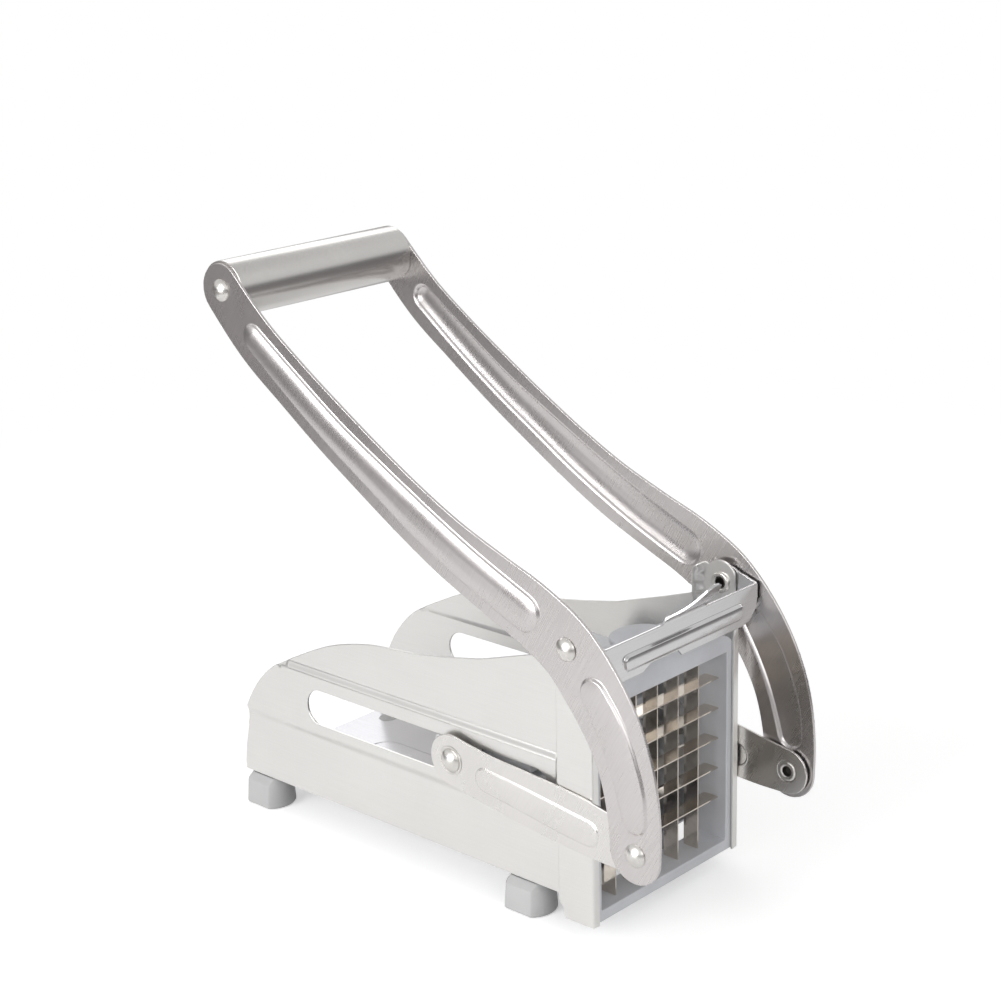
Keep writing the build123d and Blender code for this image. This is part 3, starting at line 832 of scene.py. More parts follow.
def upright_guides(places, low, high, step=2.0):
    """Net lines up the sheet at several distances."""
    spots = np.linspace(low, high, int((high - low) / step) + 2)
    return [np.stack([np.full(len(spots), s), spots], 1) for s in places]


print("the trial square with its sides divided:", len(finer(trial, 3.0)), "points")

# %% [markdown]
# A side panel is one sheet: a wall with a belt that stands proud along the slot, and a
# column at the front that steps out again to hold the blade cassette and folds over at its
# front edge. It is laid out flat, with s running round the front fold, so that the fold is
# part of the same surface and the sheet needs no seam.

# %% The side panels' surface
BELT_FOOT = (-13.0, -9.9, 0.9)
BELT_HEAD = (14.0, 15.7, 0.7)
JOGGLE = (-12.9, -11.3, 0.45)
COLUMN_FRONT = 5.0
FOLD_R = 1.05
FOLD_AT = COLUMN_FRONT - FOLD_R
FOLD_LONG = FOLD_R * math.pi / 2
FOLD_END = FOLD_AT + FOLD_LONG


def panel_face(s, t):
    """Outer face of the far side panel; s follows the sheet round the front fold."""
    belt = soft_ramp(t, *BELT_FOOT) - soft_ramp(t, *BELT_HEAD)
    wall = WALL_Y + SHEET + (BELT_Y - WALL_Y) * belt
    y = wall + (COLUMN_Y + SHEET - wall) * soft_ramp(s, *JOGGLE)
    turn = np.clip((s - FOLD_AT) / FOLD_R, 0, math.pi / 2)
    x = np.minimum(s, FOLD_AT) + FOLD_R * np.sin(turn)
    y = y - FOLD_R * (1 - np.cos(turn)) - np.maximum(s - FOLD_END, 0)
    return np.stack([x, y, t], 1)


print(f"the fold takes {FOLD_LONG:.2f} mm of the blank")

# %% [markdown]
# The blank's outline runs up the back edge, along the wall's curved top, over the round ear
# that carries the rivet, down the folded lip and back along the foot of the column. Lines of
# the net follow each bend closely, because a bend that falls between them would be faceted.

# %% The side panels' blank
TROUGH_BACK = -182.4
FLOOR_Z = -38.4
COLUMN_BACK = -13.8
COLUMN_LOW = -45.1
LIP_Y = 38.8
LIP_END = FOLD_END + COLUMN_Y + SHEET - FOLD_R - LIP_Y
WALL_TOP = [
    (-177.6, -9.0), (-173.7, -2.0), (-163.8, 9.3), (-145.6, 20.0),
    (-128.1, 28.0), (-108.6, 33.2), (-79.6, 36.4), (-49.4, 42.2),
]
panel_rim = [(TROUGH_BACK, FLOOR_Z), (TROUGH_BACK, -34.9), (-181.5, -28.0), (-179.4, -18.7)]
panel_rim += [tuple(p) for p in smooth_run(WALL_TOP, step=2.0)]
panel_rim += [(-26.3, 49.6), (COLUMN_BACK - 0.4, 53.7), (COLUMN_BACK, 54.3)]
panel_rim += arc_points((COLUMN_BACK, 62.6), (-11.6, 65.6), (-8.8, 65.1), 6)
panel_rim += arc_points((-8.6, 65.2), (-2.9, 67.7), (3.3, 63.3), 14)
panel_rim += [(3.3, 56.7), (3.9, 46.0), (5.2, 43.4), (6.2, 42.9), (7.1, 42.2)]
panel_rim += [(LIP_END, 40.0), (LIP_END, COLUMN_LOW), (-8.1, COLUMN_LOW), (-9.0, -42.9)]
panel_rim += [(-9.4, -40.7), (-10.8, -39.2), (COLUMN_BACK, FLOOR_Z)]
SLOT_BACK, SLOT_FRONT, SLOT_MID, SLOT_HALF = -141.2, -16.0, 1.1, 7.2
slot_x = np.linspace(SLOT_BACK + SLOT_HALF, SLOT_FRONT - SLOT_HALF, 50)
slot_run = np.array([(x, SLOT_MID, SLOT_HALF) for x in slot_x])
BELT_FOOT_LINES = (-13.9, -13.3, -12.7, -12.1, -10.8, -10.0, -9.4, -8.9)
BELT_HEAD_LINES = (13.2, 13.7, 14.2, 14.7, 15.2, 15.8, 16.5)
JOGGLE_LINES = (-13.4, -13.0, -12.6, -12.1, -11.6, -11.2, -10.8)
BEFORE_JOGGLE = -14.2
panel_guides = level_guides(BELT_FOOT_LINES, start=-176.0, end=BEFORE_JOGGLE)
panel_guides += level_guides(BELT_HEAD_LINES, start=-151.0, end=BEFORE_JOGGLE)
panel_guides += upright_guides(JOGGLE_LINES, low=-37.6, high=52.0)
fold_lines = [FOLD_AT + FOLD_LONG * k / 6 for k in range(7)]
panel_guides += upright_guides(fold_lines, low=-44.6, high=42.3)
panel_shape = pressed(finer(np.array(panel_rim), 3.0), panel_face, SHEET,
                      [strip_outline(slot_run, cap=24), circle(PIVOT, HOLE_R)],
                      panel_guides, pitch=2.2, rim=0.22)
place_sides("{}_pressed_panel", panel_shape, panel_steel, "base", "panel_steel",
            "{}_side_panel")

# %% [markdown]
# The trough floor is one more sheet, laid level between the panels. A wide panel is raised
# in it, which stiffens the sheet. Its height comes from the depth inside a rounded
# rectangle, as a bead's does from the depth inside a strip.

# %% The trough floor
FLOOR_FRONT = -15.2
FLOOR_GAP = 0.02
RAISED_BACK, RAISED_FRONT, RAISED_HALF, RAISED_R = -157.0, -30.0, 16.5, 8.0
RISE = 0.9
RAISED_FLANK = (0.0, 1.6, 0.5)
RAISED_LINES = (-0.8, -0.3, 0.2, 0.8, 1.4, 1.9, 2.4)
FEET_X = (-31.4, -172.6)
PLUG_Y, PLUG_R = 32.5, 3.6


def box_depth(s, t, half_s, low_t, high_t, radius):
    """How deep a point lies inside a rectangle with round corners."""
    mid_t, half_t = (low_t + high_t) / 2, (high_t - low_t) / 2
    over_s = np.abs(s) - half_s + radius
    over_t = np.abs(t - mid_t) - half_t + radius
    outside = np.hypot(np.maximum(over_s, 0), np.maximum(over_t, 0))
    return radius - outside - np.minimum(np.maximum(over_s, over_t), 0)


def rounded_box(half_s, low_t, high_t, radius, steps=6):
    """Outline of a rectangle with round corners, as (s, t)."""
    radius = max(radius, 0.01)
    corners = [
        (half_s - radius, high_t - radius, 0.0),
        (radius - half_s, high_t - radius, 0.5),
        (radius - half_s, low_t + radius, 1.0),
        (half_s - radius, low_t + radius, 1.5),
    ]
    points = []
    for s, t, start in corners:
        for k in range(steps + 1):
            angle = math.pi * (start + 0.5 * k / steps)
            points.append((s + radius * math.cos(angle), t + radius * math.sin(angle)))
    return np.array(points)


def floor_face(s, t):
    """Upper face of the floor; s runs across the trough and t along it."""
    depth = box_depth(s, t, RAISED_HALF, RAISED_BACK, RAISED_FRONT, RAISED_R)
    return np.stack([t, s, FLOOR_Z + SHEET + RISE * soft_ramp(depth, *RAISED_FLANK)], 1)


floor_rim = rounded_box(WALL_Y - FLOOR_GAP, TROUGH_BACK, FLOOR_FRONT, 0.3, 2)
plug_spots = [(side * PLUG_Y, x) for x in FEET_X for side in (-1, 1)]
floor_holes = [circle(spot, PLUG_R + HOLE_PLAY) for spot in plug_spots]
raised_loops = [
    rounded_box(RAISED_HALF - inset, RAISED_BACK + inset, RAISED_FRONT - inset, RAISED_R - inset)
    for inset in RAISED_LINES
]
floor_guides = [closed(finer(loop, 3.0)) for loop in raised_loops]
floor_shape = pressed(finer(floor_rim, 3.0), floor_face, SHEET, floor_holes, floor_guides,
                      pitch=3.5, rim=0.15)
place("pressed_floor", floor_shape, floor_steel, "base", "floor_steel", ["trough_floor"])

# %% [markdown]
# The clip is a yoke that swings on the ear rivets and holds the cassette down. It too is
# one sheet: a front face with a long rib, two cheeks folded back, and a thumb tab that
# curves up and away. It is laid out flat, with s across the face and round both folds. The
# tab's curve is a lean that grows fast and then eases, added up in small steps.

# %% The blade clip's surface
CLIP_FRONT, CLIP_HALF, CLIP_TOP = 12.3, 43.5, 62.0
CLIP_R = 1.0
CLIP_FOLD = CLIP_HALF - CLIP_R
CLIP_FOLD_LONG = CLIP_R * math.pi / 2
CLIP_CHEEK = CLIP_FOLD + CLIP_FOLD_LONG
RIB_Z, RIB_HALF, RIB_LONG = 54.6, 2.5, 34.0
RIB_FORM = {"flank": 0.9, "step_up": 0.85, "crown": 0.55, "width": RIB_HALF, "shoulder": 0.0}
RIB_SAG = 0.38
THUMB_BEND, THUMB_LONG, THUMB_STEP = 61.8, 26.0, 0.1
LEAN_OUT, LEAN_OVER = 60, 2.6
LEAN_BACK, LEAN_FROM, LEAN_ALONG = 24, 2, 17
rib_s = np.linspace(RIB_HALF - RIB_LONG, RIB_LONG - RIB_HALF, 60)
rib_run = np.array([(s, RIB_Z, RIB_HALF) for s in rib_s])
thumb_reach = np.linspace(0.0, THUMB_LONG, round(THUMB_LONG / THUMB_STEP) + 1)
lean_back = LEAN_BACK * np.clip((thumb_reach - LEAN_FROM) / LEAN_ALONG, 0, 1)
thumb_lean = np.radians(LEAN_OUT * np.clip(thumb_reach / LEAN_OVER, 0, 1) - lean_back)[:-1]
thumb_out = np.concatenate([[0], np.cumsum(np.sin(thumb_lean) * THUMB_STEP)])
thumb_up = np.concatenate([[0], np.cumsum(np.cos(thumb_lean) * THUMB_STEP)])


def clip_face(s, t):
    """Outer face of the clip; t runs up the face and along the thumb tab."""
    turn = np.clip((np.abs(s) - CLIP_FOLD) / CLIP_R, 0, math.pi / 2)
    past = np.maximum(np.abs(s) - CLIP_CHEEK, 0)
    x = CLIP_FRONT - CLIP_R * (1 - np.cos(turn)) - past
    y = -np.sign(s) * (np.minimum(np.abs(s), CLIP_FOLD) + CLIP_R * np.sin(turn))
    below = np.minimum(t - RIB_Z, 0) * RIB_SAG
    x = x + ridge(depth_in(rib_run, s, t - below), **RIB_FORM)
    beyond = np.clip(t - THUMB_BEND, 0, THUMB_LONG)
    x = x + np.interp(beyond, thumb_reach, thumb_out)
    z = np.minimum(t, THUMB_BEND) + np.interp(beyond, thumb_reach, thumb_up)
    return np.stack([x, y, z], 1)


print(f"the thumb tab leans out by {thumb_out[-1]:.1f} mm")

# %% [markdown]
# The outline is drawn for one half and mirrored: down the tab's side, round the cheek with
# its ear about the rivet, and along the lower edge. The notch in that edge is on one side
# only. A short lip behind it lies over the cassette and holds it down.

# %% The blade clip's blank
THUMB_SIDE = [(12.2, 62.0), (10.0, 65.8), (8.0, 69.7), (5.4, 76.5), (4.0, 79.9)]
EAR_R, EAR_BACK = 8.5, 0.2
RIB_LINES = (-0.2, 0.15, 0.4, 0.65, 0.95)
LIP_TOP, LIP_BACK, LIP_FRONT = 51.1, 2.5, CLIP_FRONT - 0.5
LIP_HALF, LIP_MIDDLE = 7.35, -11.25


def cheek_s(x):
    """How far round the sheet a point of the cheek lies."""
    return CLIP_CHEEK + CLIP_FRONT - CLIP_R - x


thumb_tip = arc_points((4.0, 79.9), (0.0, 82.3), (-4.0, 79.9), 8)[1:-1]
ear_turns = np.linspace(math.pi / 2, math.pi * 1.5, 19)
half_rim = [(CLIP_FOLD, CLIP_TOP), (CLIP_CHEEK, CLIP_TOP), (cheek_s(3.5), 64.6)]
half_rim += [
    (cheek_s(PIVOT[0] - EAR_BACK + EAR_R * math.cos(a)), PIVOT[1] + EAR_R * math.sin(a))
    for a in ear_turns
]
half_rim += [(cheek_s(3.0), 48.6), (cheek_s(8.2), 47.4), (cheek_s(10.2), 52.8)]
half_rim += [(CLIP_FOLD + 0.8, 56.2), (41.6, 52.0), (38.0, 48.6), (34.0, 47.8)]
notch = [(23.0, 47.8), (19.0, 49.9), (3.5, 49.9), (1.5, 47.7)]
clip_rim = THUMB_SIDE[::-1] + half_rim + notch
clip_rim += [(-s, t) for s, t in half_rim[::-1]]
clip_rim += [(-s, t) for s, t in THUMB_SIDE] + thumb_tip[::-1]
clip_holes = [circle((side * cheek_s(PIVOT[0]), PIVOT[1]), HOLE_R) for side in (-1, 1)]
clip_folds = [CLIP_FOLD + CLIP_FOLD_LONG * k / 6 for k in range(7)]
clip_folds = [side * s for s in clip_folds for side in (-1, 1)]
thumb_lines = [THUMB_BEND + over for over in (0.6, 1.3, 2.1)]
clip_guides = upright_guides(clip_folds, low=56.6, high=61.5, step=1.2)
clip_guides += level_guides(thumb_lines, start=-10.5, end=10.5, step=1.2)
for inset in RIB_LINES:
    loop = strip_outline(rib_run, inset=inset, cap=10)
    low = np.minimum(loop[:, 1] - RIB_Z, 0)
    loop[:, 1] += low / (1 - RIB_SAG) - low
    clip_guides.append(closed(finer(loop, 1.6)))
clip_sheet = pressed(finer(np.array(clip_rim), 2.0), clip_face, SHEET, clip_holes, clip_guides,
                     pitch=1.2, rim=0.25)
lip_rim = rounded_box(LIP_HALF, LIP_BACK, LIP_FRONT, 1.0) + np.array([LIP_MIDDLE, 0.0])
lip_sheet = pressed(finer(lip_rim, 2.0), flat_face("Z", LIP_TOP), SHEET, pitch=1.5, rim=0.2)
place("pressed_clip", joined(clip_sheet, lip_sheet), clip_steel, "clip", "clip_steel",
      ["blade_clip"])

# %% [markdown]
# The cassette is a moulded frame round the blade grid. It is thick, but it can be filled the
# same way as a sheet: one face, an opening and eased edges. Sharp outline corners are eased
# first, as a mould always eases them.

# %% The blade cassette's frame
CASSETTE_FRONT, CASSETTE_DEEP = 3.8, 13.45
CASSETTE_TOP = 50.0
OPENING_HALF, OPENING_LOW, OPENING_HIGH = 36.2, -40.6, 35.0
LONGEST_CUT = 0.45


def eased(points, radius, steps=4):
    """Round the corners of a closed outline."""
    points = np.array(points, float)
    out = []
    for i, corner in enumerate(points):
        before, after = points[i - 1], points[(i + 1) % len(points)]
        gap_in, gap_out = np.linalg.norm(before - corner), np.linalg.norm(after - corner)
        start = corner + (before - corner) * min(radius / gap_in, LONGEST_CUT)
        end = corner + (after - corner) * min(radius / gap_out, LONGEST_CUT)
        for k in range(steps + 1):
            u = k / steps
            out.append(start * (1 - u) ** 2 + corner * 2 * u * (1 - u) + end * u * u)
    return np.array(out)


def both_halves(half):
    """A closed outline from its half on the far side."""
    return half + [(-y, z) for y, z in half[::-1]]


frame_rim = both_halves([(41.0, -44.9), (41.0, 37.5), (38.0, 40.2), (34.0, 42.4),
                         (29.0, CASSETTE_TOP)])
mouth_rim = both_halves([(OPENING_HALF, OPENING_LOW), (OPENING_HALF, OPENING_HIGH)])
frame_shape = pressed(finer(eased(frame_rim, 0.8), 3.0), flat_face("X", CASSETTE_FRONT),
                      CASSETTE_DEEP, [finer(eased(mouth_rim, 0.6), 3.0)], pitch=3.0, rim=0.45)
place("moulded_cassette", frame_shape, cassette_plastic, "base", "cassette_plastic",
      ["cassette_frame"])

# %% [markdown]
# A finger tab on the cassette's top lifts it out. Solid mouldings like this one, the studs
# and the feet are stacks of loops: one outline at several heights, drawn in a little where
# an edge is rounded. The tab's top lies a hair under the frame's, so that no two faces share
# a plane where it grows into the frame.

# %% The finger tab
FINGER_ROOT, FINGER_REACH, FINGER_HALF = -8.0, 10.3, 12.0
FINGER_THICK, FINGER_EASE = 2.0, 0.7
FINGER_TOP = CASSETTE_TOP - 0.03


def stacked(loops):
    """A closed solid through equal loops, from the lowest to the highest."""
    count = len(loops[0])
    faces = [tuple(range(count))[::-1]]
    for i in range(len(loops) - 1):
        low, high = i * count, (i + 1) * count
        for k in range(count):
            n = (k + 1) % count
            faces.append((low + k, low + n, high + n, high + k))
    top = (len(loops) - 1) * count
    faces.append(tuple(range(top, top + count)))
    return np.vstack(loops), faces, None


def at_height(loop, z):
    """A flat (x, y) loop at one height."""
    return np.column_stack([loop, np.full(len(loop), float(z))])


def finger_loop(inset, z):
    """The tab's outline at one height: half an oval that grows out of the frame."""
    turns = np.linspace(math.pi / 2, math.pi * 1.5, 33)
    x = FINGER_ROOT + (FINGER_REACH - inset) * np.cos(turns)
    y = (FINGER_HALF - inset) * np.sin(turns)
    return at_height(np.stack([x, y], 1), z)


ease_turns = np.linspace(0, math.pi / 2, 5)
ease_steps = [(FINGER_EASE * (1 - math.sin(a)), FINGER_EASE * (1 - math.cos(a)))
              for a in ease_turns]
finger_loops = [finger_loop(inset, FINGER_TOP - FINGER_THICK + lift) for inset, lift in ease_steps]
finger_loops += [finger_loop(inset, FINGER_TOP - lift) for inset, lift in ease_steps[::-1]]
place("finger_tab", stacked(finger_loops), cassette_plastic, "base", "cassette_plastic", [])

# %% [markdown]
# The blades stay as the CAD made them: flat ground strips, half-lapped like the dividers of
# a box. Only their finish is new.

# %% Blades
for node in ("upright_blades", "level_blades"):
    # The blade finish carries a painted reflection of the trough in its brownish tint.
    bpy.data.objects[node].material_slots[0].material = blade_steel
    print(node, "polished")

# %% [markdown]
# Rivets, pins and washers are turned or headed: round about one line across the cutter. A
# screw modifier could spin them, but its seam would have to be merged. Here a profile of
# radius and distance from the middle plane goes round that line in a loop.

# %% Turned pieces
TURN_COUNT = 48
ON_AXIS = 1e-6


def turned(profile, spot, ring=False):
    """Spin (radius, y) points about the line across the cutter through a spot."""
    angle = np.linspace(0, 2 * math.pi, TURN_COUNT, endpoint=False)
    verts, rings = [], []
    for radius, y in profile:
        if radius < ON_AXIS:
            rings.append([len(verts)] * TURN_COUNT)
            verts.append((spot[0], y, spot[1]))
            continue
        rings.append(list(range(len(verts), len(verts) + TURN_COUNT)))
        verts += [(spot[0] + radius * math.cos(a), y, spot[1] + radius * math.sin(a))
                  for a in angle]
    pairs = list(zip(rings, rings[1:])) + ([(rings[-1], rings[0])] if ring else [])
    faces = []
    for low, high in pairs:
        for k in range(TURN_COUNT):
            n = (k + 1) % TURN_COUNT
            corners = (low[k], high[k], high[n], low[n])
            faces.append(tuple(dict.fromkeys(corners)))
    return np.array(verts), faces, None


trial_disc = turned([(0.0, 0.0), (5.0, 0.0), (5.0, 1.0), (0.0, 1.0)], (0.0, 0.0))
print("a trial disc takes", len(trial_disc[1]), "faces")

# %% [markdown]
# A rivet's head is a shallow cap of a ball with a small flat rim. Its hollow end is rolled
# outward like an eyelet's. Both are drawn as profiles, so that any rivet can end in them.

# %% Rivet heads and rolled ends
HEAD_EASE = 0.1
ROLL_SHARE = 0.6


def dome(foot, radius=HEAD_R, rise=2.4, edge=0.35, steps=9):
    """Profile of a rivet head from its rim to its crown."""
    crown = rise - edge
    ball = (radius * radius + crown * crown) / (2 * crown)
    reach = math.asin(radius / ball)
    points = [(radius - HEAD_EASE, foot), (radius, foot + HEAD_EASE)]
    for k in range(steps + 1):
        lean = reach * (1 - k / steps)
        height = foot + edge + ball * (math.cos(lean) - math.cos(reach))
        points.append((ball * math.sin(lean) if k < steps else 0.0, height))
    return points


def eyelet(inner, outer, low, high):
    """Profile of a rolled rim round a rivet's hollow end, from the bore outward."""
    middle, swell = (inner + outer) / 2, (outer - inner) / 2
    rise = (high - low) * ROLL_SHARE
    roll = [(middle + swell * math.cos(a), low + rise * (1 - math.sin(a)))
            for a in np.linspace(math.pi, 0, 9)]
    return roll + [(outer, high)]


print(f"a rivet head stands {dome(0.0)[-1][1]:.1f} mm high")

# %% [markdown]
# The ear rivets and the lower rivets have a domed head outside. Inside the cutter they end
# open, with the rim rolled outward. The shade deep in each bore is painted: a thin dark cup
# lines it, a piece of its own, because every piece here has one finish all over.

# %% Hollow rivets
HEAD_FOOT = HEAD_Y + 0.1
BORE_END = 0.6
BORE_R, LINING = 2.0, 0.15
LINK_ROLL, SINK = LINK_Y - 0.1, 0.7


def hollow_rivet(spot, inner, outer, low, high, head):
    """One rivet: its bore, the rolled rim from low to high, the shank and the head."""
    profile = [(0.0, head - BORE_END), (inner - 0.1, head - BORE_END)]
    profile += eyelet(inner, outer, low, high) + [(PIN_R, high), (PIN_R, head)] + dome(head)
    return turned(profile, spot)


def bore(spot, mouth, head):
    """A thin dark cup in a rivet's hollow end, which paints the shade inside the bore."""
    deep, inner = head - BORE_END - 0.02, BORE_R - LINING
    cup = [(0.0, deep - LINING), (inner - LINING, deep - LINING), (inner, deep - 2 * LINING)]
    cup += [(inner, mouth), (BORE_R, mouth), (BORE_R, deep), (0.0, deep)]
    return turned(cup, spot)


ear_shape = hollow_rivet(PIVOT, inner=2.2, outer=4.0, low=COLUMN_Y - 1.1, high=COLUMN_Y,
                         head=HEAD_FOOT)
place("ear_rivets", paired(ear_shape), rivet_steel, "base", "rivet_steel",
      ["handle_pivot_rivets"])
lower_shape = hollow_rivet(LINK_PIN, inner=2.0, outer=3.9, low=LINK_ROLL,
                           high=LINK_ROLL + SINK, head=HEAD_Y)
place("lower_rivets", paired(lower_shape), rivet_steel, "handle", "rivet_steel",
      ["link_rivets"])
# Dark cups inside the bores: painted shade.
place("ear_rivet_bores", paired(bore(PIVOT, COLUMN_Y - 0.7, HEAD_FOOT)), painted_shade_bore_steel, "base",
      "rivet_steel", [])
place("lower_rivet_bores", paired(bore(LINK_PIN, LINK_Y + 0.15, HEAD_Y)), painted_shade_bore_steel, "handle",
      "rivet_steel", [])

# %% [markdown]
# A washer keeps each arm clear of the sheet beneath it. The tail rivet's head stands in a
# thin dished collar on the link, which spreads its load.

# %% Washers and tail rivets
WASHER_R, WASHER_GAP = 5.5, 0.1
WASHER_LOW, WASHER_HIGH = LINK_Y + SHEET + WASHER_GAP, ARM_Y - WASHER_GAP
washer = [(HOLE_R, WASHER_LOW), (WASHER_R, WASHER_LOW), (WASHER_R, WASHER_HIGH)]
washer = eased(washer + [(HOLE_R, WASHER_HIGH)], 0.2, 3)
for name, spot, body, node in (("ear_washers", PIVOT, "base", "pivot_washers"),
                               ("lower_washers", LINK_PIN, "handle", "link_washers")):
    place(name, paired(turned(washer, spot, ring=True)), washer_steel, body, "washer_steel",
          [node])

LINK_FACE = LINK_Y + SHEET
COLLAR = [(5.3, 0.0), (5.6, 0.12), (5.45, 0.33), (5.1, 0.36), (4.5, 0.12)]
tail = [(0.0, LINK_Y - 0.2), (PIN_R, LINK_Y - 0.2), (PIN_R, LINK_FACE)]
tail += [(radius, LINK_FACE + lift) for radius, lift in COLLAR]
tail += dome(LINK_FACE + 0.05, HEAD_R + 0.1)
place_sides("{}_tail_head", turned(tail, TAIL_PIN), rivet_steel, "{}_link", "rivet_steel",
            "{}_tail_rivet")

# %% [markdown]
# The grip is a length of tube between the arms, with a rod through it that is headed over
# at both ends.

# %% The grip
GRIP_R, GRIP_WALL = 11.0, 1.2
tube = [(GRIP_R - GRIP_WALL, -ARM_Y), (GRIP_R, -ARM_Y), (GRIP_R, ARM_Y)]
tube = eased(tube + [(GRIP_R - GRIP_WALL, ARM_Y)], 0.3, 3)
place("grip_sleeve", turned(tube, GRIP, ring=True), grip_steel, "handle", "grip_steel",
      ["grip_tube"])
far_half = [(PIN_R, HEAD_Y)] + dome(HEAD_Y)
rod = [(radius, -y) for radius, y in far_half[::-1]] + far_half
place("headed_rod", turned(rod, GRIP), rivet_steel, "handle", "rivet_steel", ["grip_rod"])

# %% [markdown]
# The pusher is one moulding: a plate and 34 studs that reach between the blades. Its two
# upper corners are cut off and carry no stud. Each stud is drafted, a little slimmer at its
# tip, so that it leaves the mould.

# %% The pusher
PLATE_BACK, PLATE_FRONT = TAIL_PIN[0] + 8.7, TAIL_PIN[0] + 12.7
PLATE_HALF, PLATE_LOW, PLATE_HIGH = 35.7, -35.6, 34.4
CORNER_CUT = 12.6
CUT_Y, CUT_Z = PLATE_HALF - CORNER_CUT, PLATE_HIGH - CORNER_CUT
BLADE_PITCH, CELLS = 12.0, 6
STUD, STUD_LONG, DRAFT = 9.6, 18.0, 0.3
STUD_COLUMNS = [(i - (CELLS - 1) / 2) * BLADE_PITCH for i in range(CELLS)]
STUD_ROWS = STUD_COLUMNS[:-1] + [STUD_COLUMNS[-1] - 0.4]
STUD_ROOT, STUD_TIP = PLATE_FRONT - 0.2, PLATE_FRONT + STUD_LONG
TIP_EASE = [(0.0, 0.5), (0.07, 0.25), (0.2, 0.07), (0.45, 0.0)]


def stud_at(y, z):
    """One drafted stud, from the plate to its eased tip."""
    stations = [(0.0, STUD_ROOT)]
    stations += [(DRAFT + inset, STUD_TIP - back) for inset, back in TIP_EASE]
    loops = []
    for inset, x in stations:
        half = STUD / 2 - inset
        loop = rounded_box(half, -half, half, 0.7, 3)
        loops.append(np.column_stack([np.full(len(loop), x), loop + np.array([y, z])]))
    return stacked(loops)


plate_rim = both_halves([(PLATE_HALF, PLATE_LOW), (PLATE_HALF, CUT_Z), (CUT_Y, PLATE_HIGH)])
plate_shape = pressed(finer(eased(plate_rim, 1.2), 6.0), flat_face("X", PLATE_FRONT),
                      PLATE_FRONT - PLATE_BACK, pitch=6.0, rim=0.4)
place("pusher_back", plate_shape, pusher_plastic, "pusher", "pusher_plastic", ["pusher_plate"])
stud_spots = [(y, z) for y in STUD_COLUMNS for z in STUD_ROWS if abs(y) < CUT_Y or z < CUT_Z]
studs = joined(*[stud_at(y, z) for y, z in stud_spots])
place("pusher_pegs", studs, pusher_plastic, "pusher", "pusher_plastic", ["pusher_studs"])

# %% [markdown]
# A bent steel strip carries the pusher. Seen from above it is one closed outline, so it is
# pressed as a very thick flat piece and its two bends are simply corners of that outline.

# %% The bracket
STRIP = 1.2
STRIP_HALF = 9.0
STRIP_LOW, STRIP_HIGH = SLOT_MID - STRIP_HALF, SLOT_MID + STRIP_HALF
WING_BACK, WING_Y = TAIL_PIN[0] - 9.0, PLATE_HALF + STRIP
outer = [(WING_Y, WING_BACK), (WING_Y, PLATE_BACK - 1.3), (WING_Y - 0.4, PLATE_BACK - 0.4)]
outer += [(WING_Y - 1.3, PLATE_BACK)]
inner = [(PLATE_HALF, WING_BACK), (PLATE_HALF, PLATE_BACK - STRIP - 0.1)]
inner += [(PLATE_HALF - 0.1, PLATE_BACK - STRIP)]
strip_rim = both_halves(outer) + [(-s, t) for s, t in inner] + inner[::-1]
bracket_shape = pressed(finer(np.array(strip_rim), 3.0), flat_face("Z", STRIP_HIGH),
                        STRIP_HIGH - STRIP_LOW, pitch=1.0, rim=0.2)
place("bent_bracket", bracket_shape, bracket_steel, "pusher", "bracket_steel",
      ["pusher_bracket"])

# %% [markdown]
# The bracket's wings hold two pins, and a plastic block on each pin runs in the slot of the
# side panel. The blocks are drawn as rounded rectangles with a hole; the pins are turned.

# %% Slide blocks and pins
BLOCK_IN, BLOCK_OUT, BLOCK_HALF = PLATE_HALF + STRIP, COLUMN_Y, SLOT_HALF - 0.2
BLOCK_LONG = 10.0
PIN_FLANGE = 4.6
PIN_END = LINK_Y - 0.4
slide_rim = rounded_box(BLOCK_LONG, -BLOCK_HALF, BLOCK_HALF, 1.5)
slide_rim = finer(slide_rim + np.array([TAIL_PIN[0], SLOT_MID]), 2.0)
slide_shape = pressed(slide_rim, flat_face("Y", BLOCK_OUT), BLOCK_OUT - BLOCK_IN,
                      [circle(TAIL_PIN, PIN_R)], pitch=2.0, rim=0.5)
place_sides("{}_slide", slide_shape, slide_plastic, "pusher", "slide_plastic",
            "{}_slide_block")
pin = [(0.0, PLATE_HALF - 1.4), (PIN_FLANGE - 0.4, PLATE_HALF - 1.4)]
pin += [(PIN_FLANGE, PLATE_HALF - 1.0), (PIN_FLANGE, PLATE_HALF), (PIN_R, PLATE_HALF)]
pin += [(PIN_R, PIN_END - 0.3), (PIN_R - 0.3, PIN_END), (0.0, PIN_END)]
place("slide_pin_pair", paired(turned(pin, TAIL_PIN)), rivet_steel, "pusher", "rivet_steel",
      ["slide_pins"])

# %% [markdown]
# Four moulded feet stand under the corners. Each is a tapered disc with a flat outer face, a
# sloping ledge that the wall's lower edge stands over, and a plug that snaps into the floor.
# Its sizes are pairs: the disc's radius, and how far out the flat face lies.

# %% The feet
FEET_Z, FOOT_MIDDLE = -51.2, 34.4
SOLE, WAIST, LEDGE, PAD = (9.8, 7.6), (9.1, 6.9), (7.6, 4.25), (4.6, 2.2)
WAIST_Z, LEDGE_Z = -41.2, -39.05
CORNER_EASE = 0.5


def foot_loop(x, size, z, inset=0.0, count=30):
    """A foot's outline at one height: a disc with its outer side cut off flat."""
    radius, flat_at = size[0] - inset, size[1] - inset
    end = math.asin(flat_at / radius)
    turns = np.linspace(math.pi - end, 2 * math.pi + end, count)
    arc = np.stack([x + radius * np.cos(turns), FOOT_MIDDLE + radius * np.sin(turns)], 1)
    return at_height(eased(arc, CORNER_EASE, 3), z)


def between(first, second, share):
    """A size part of the way from one to another."""
    return tuple(a + (b - a) * share for a, b in zip(first, second))


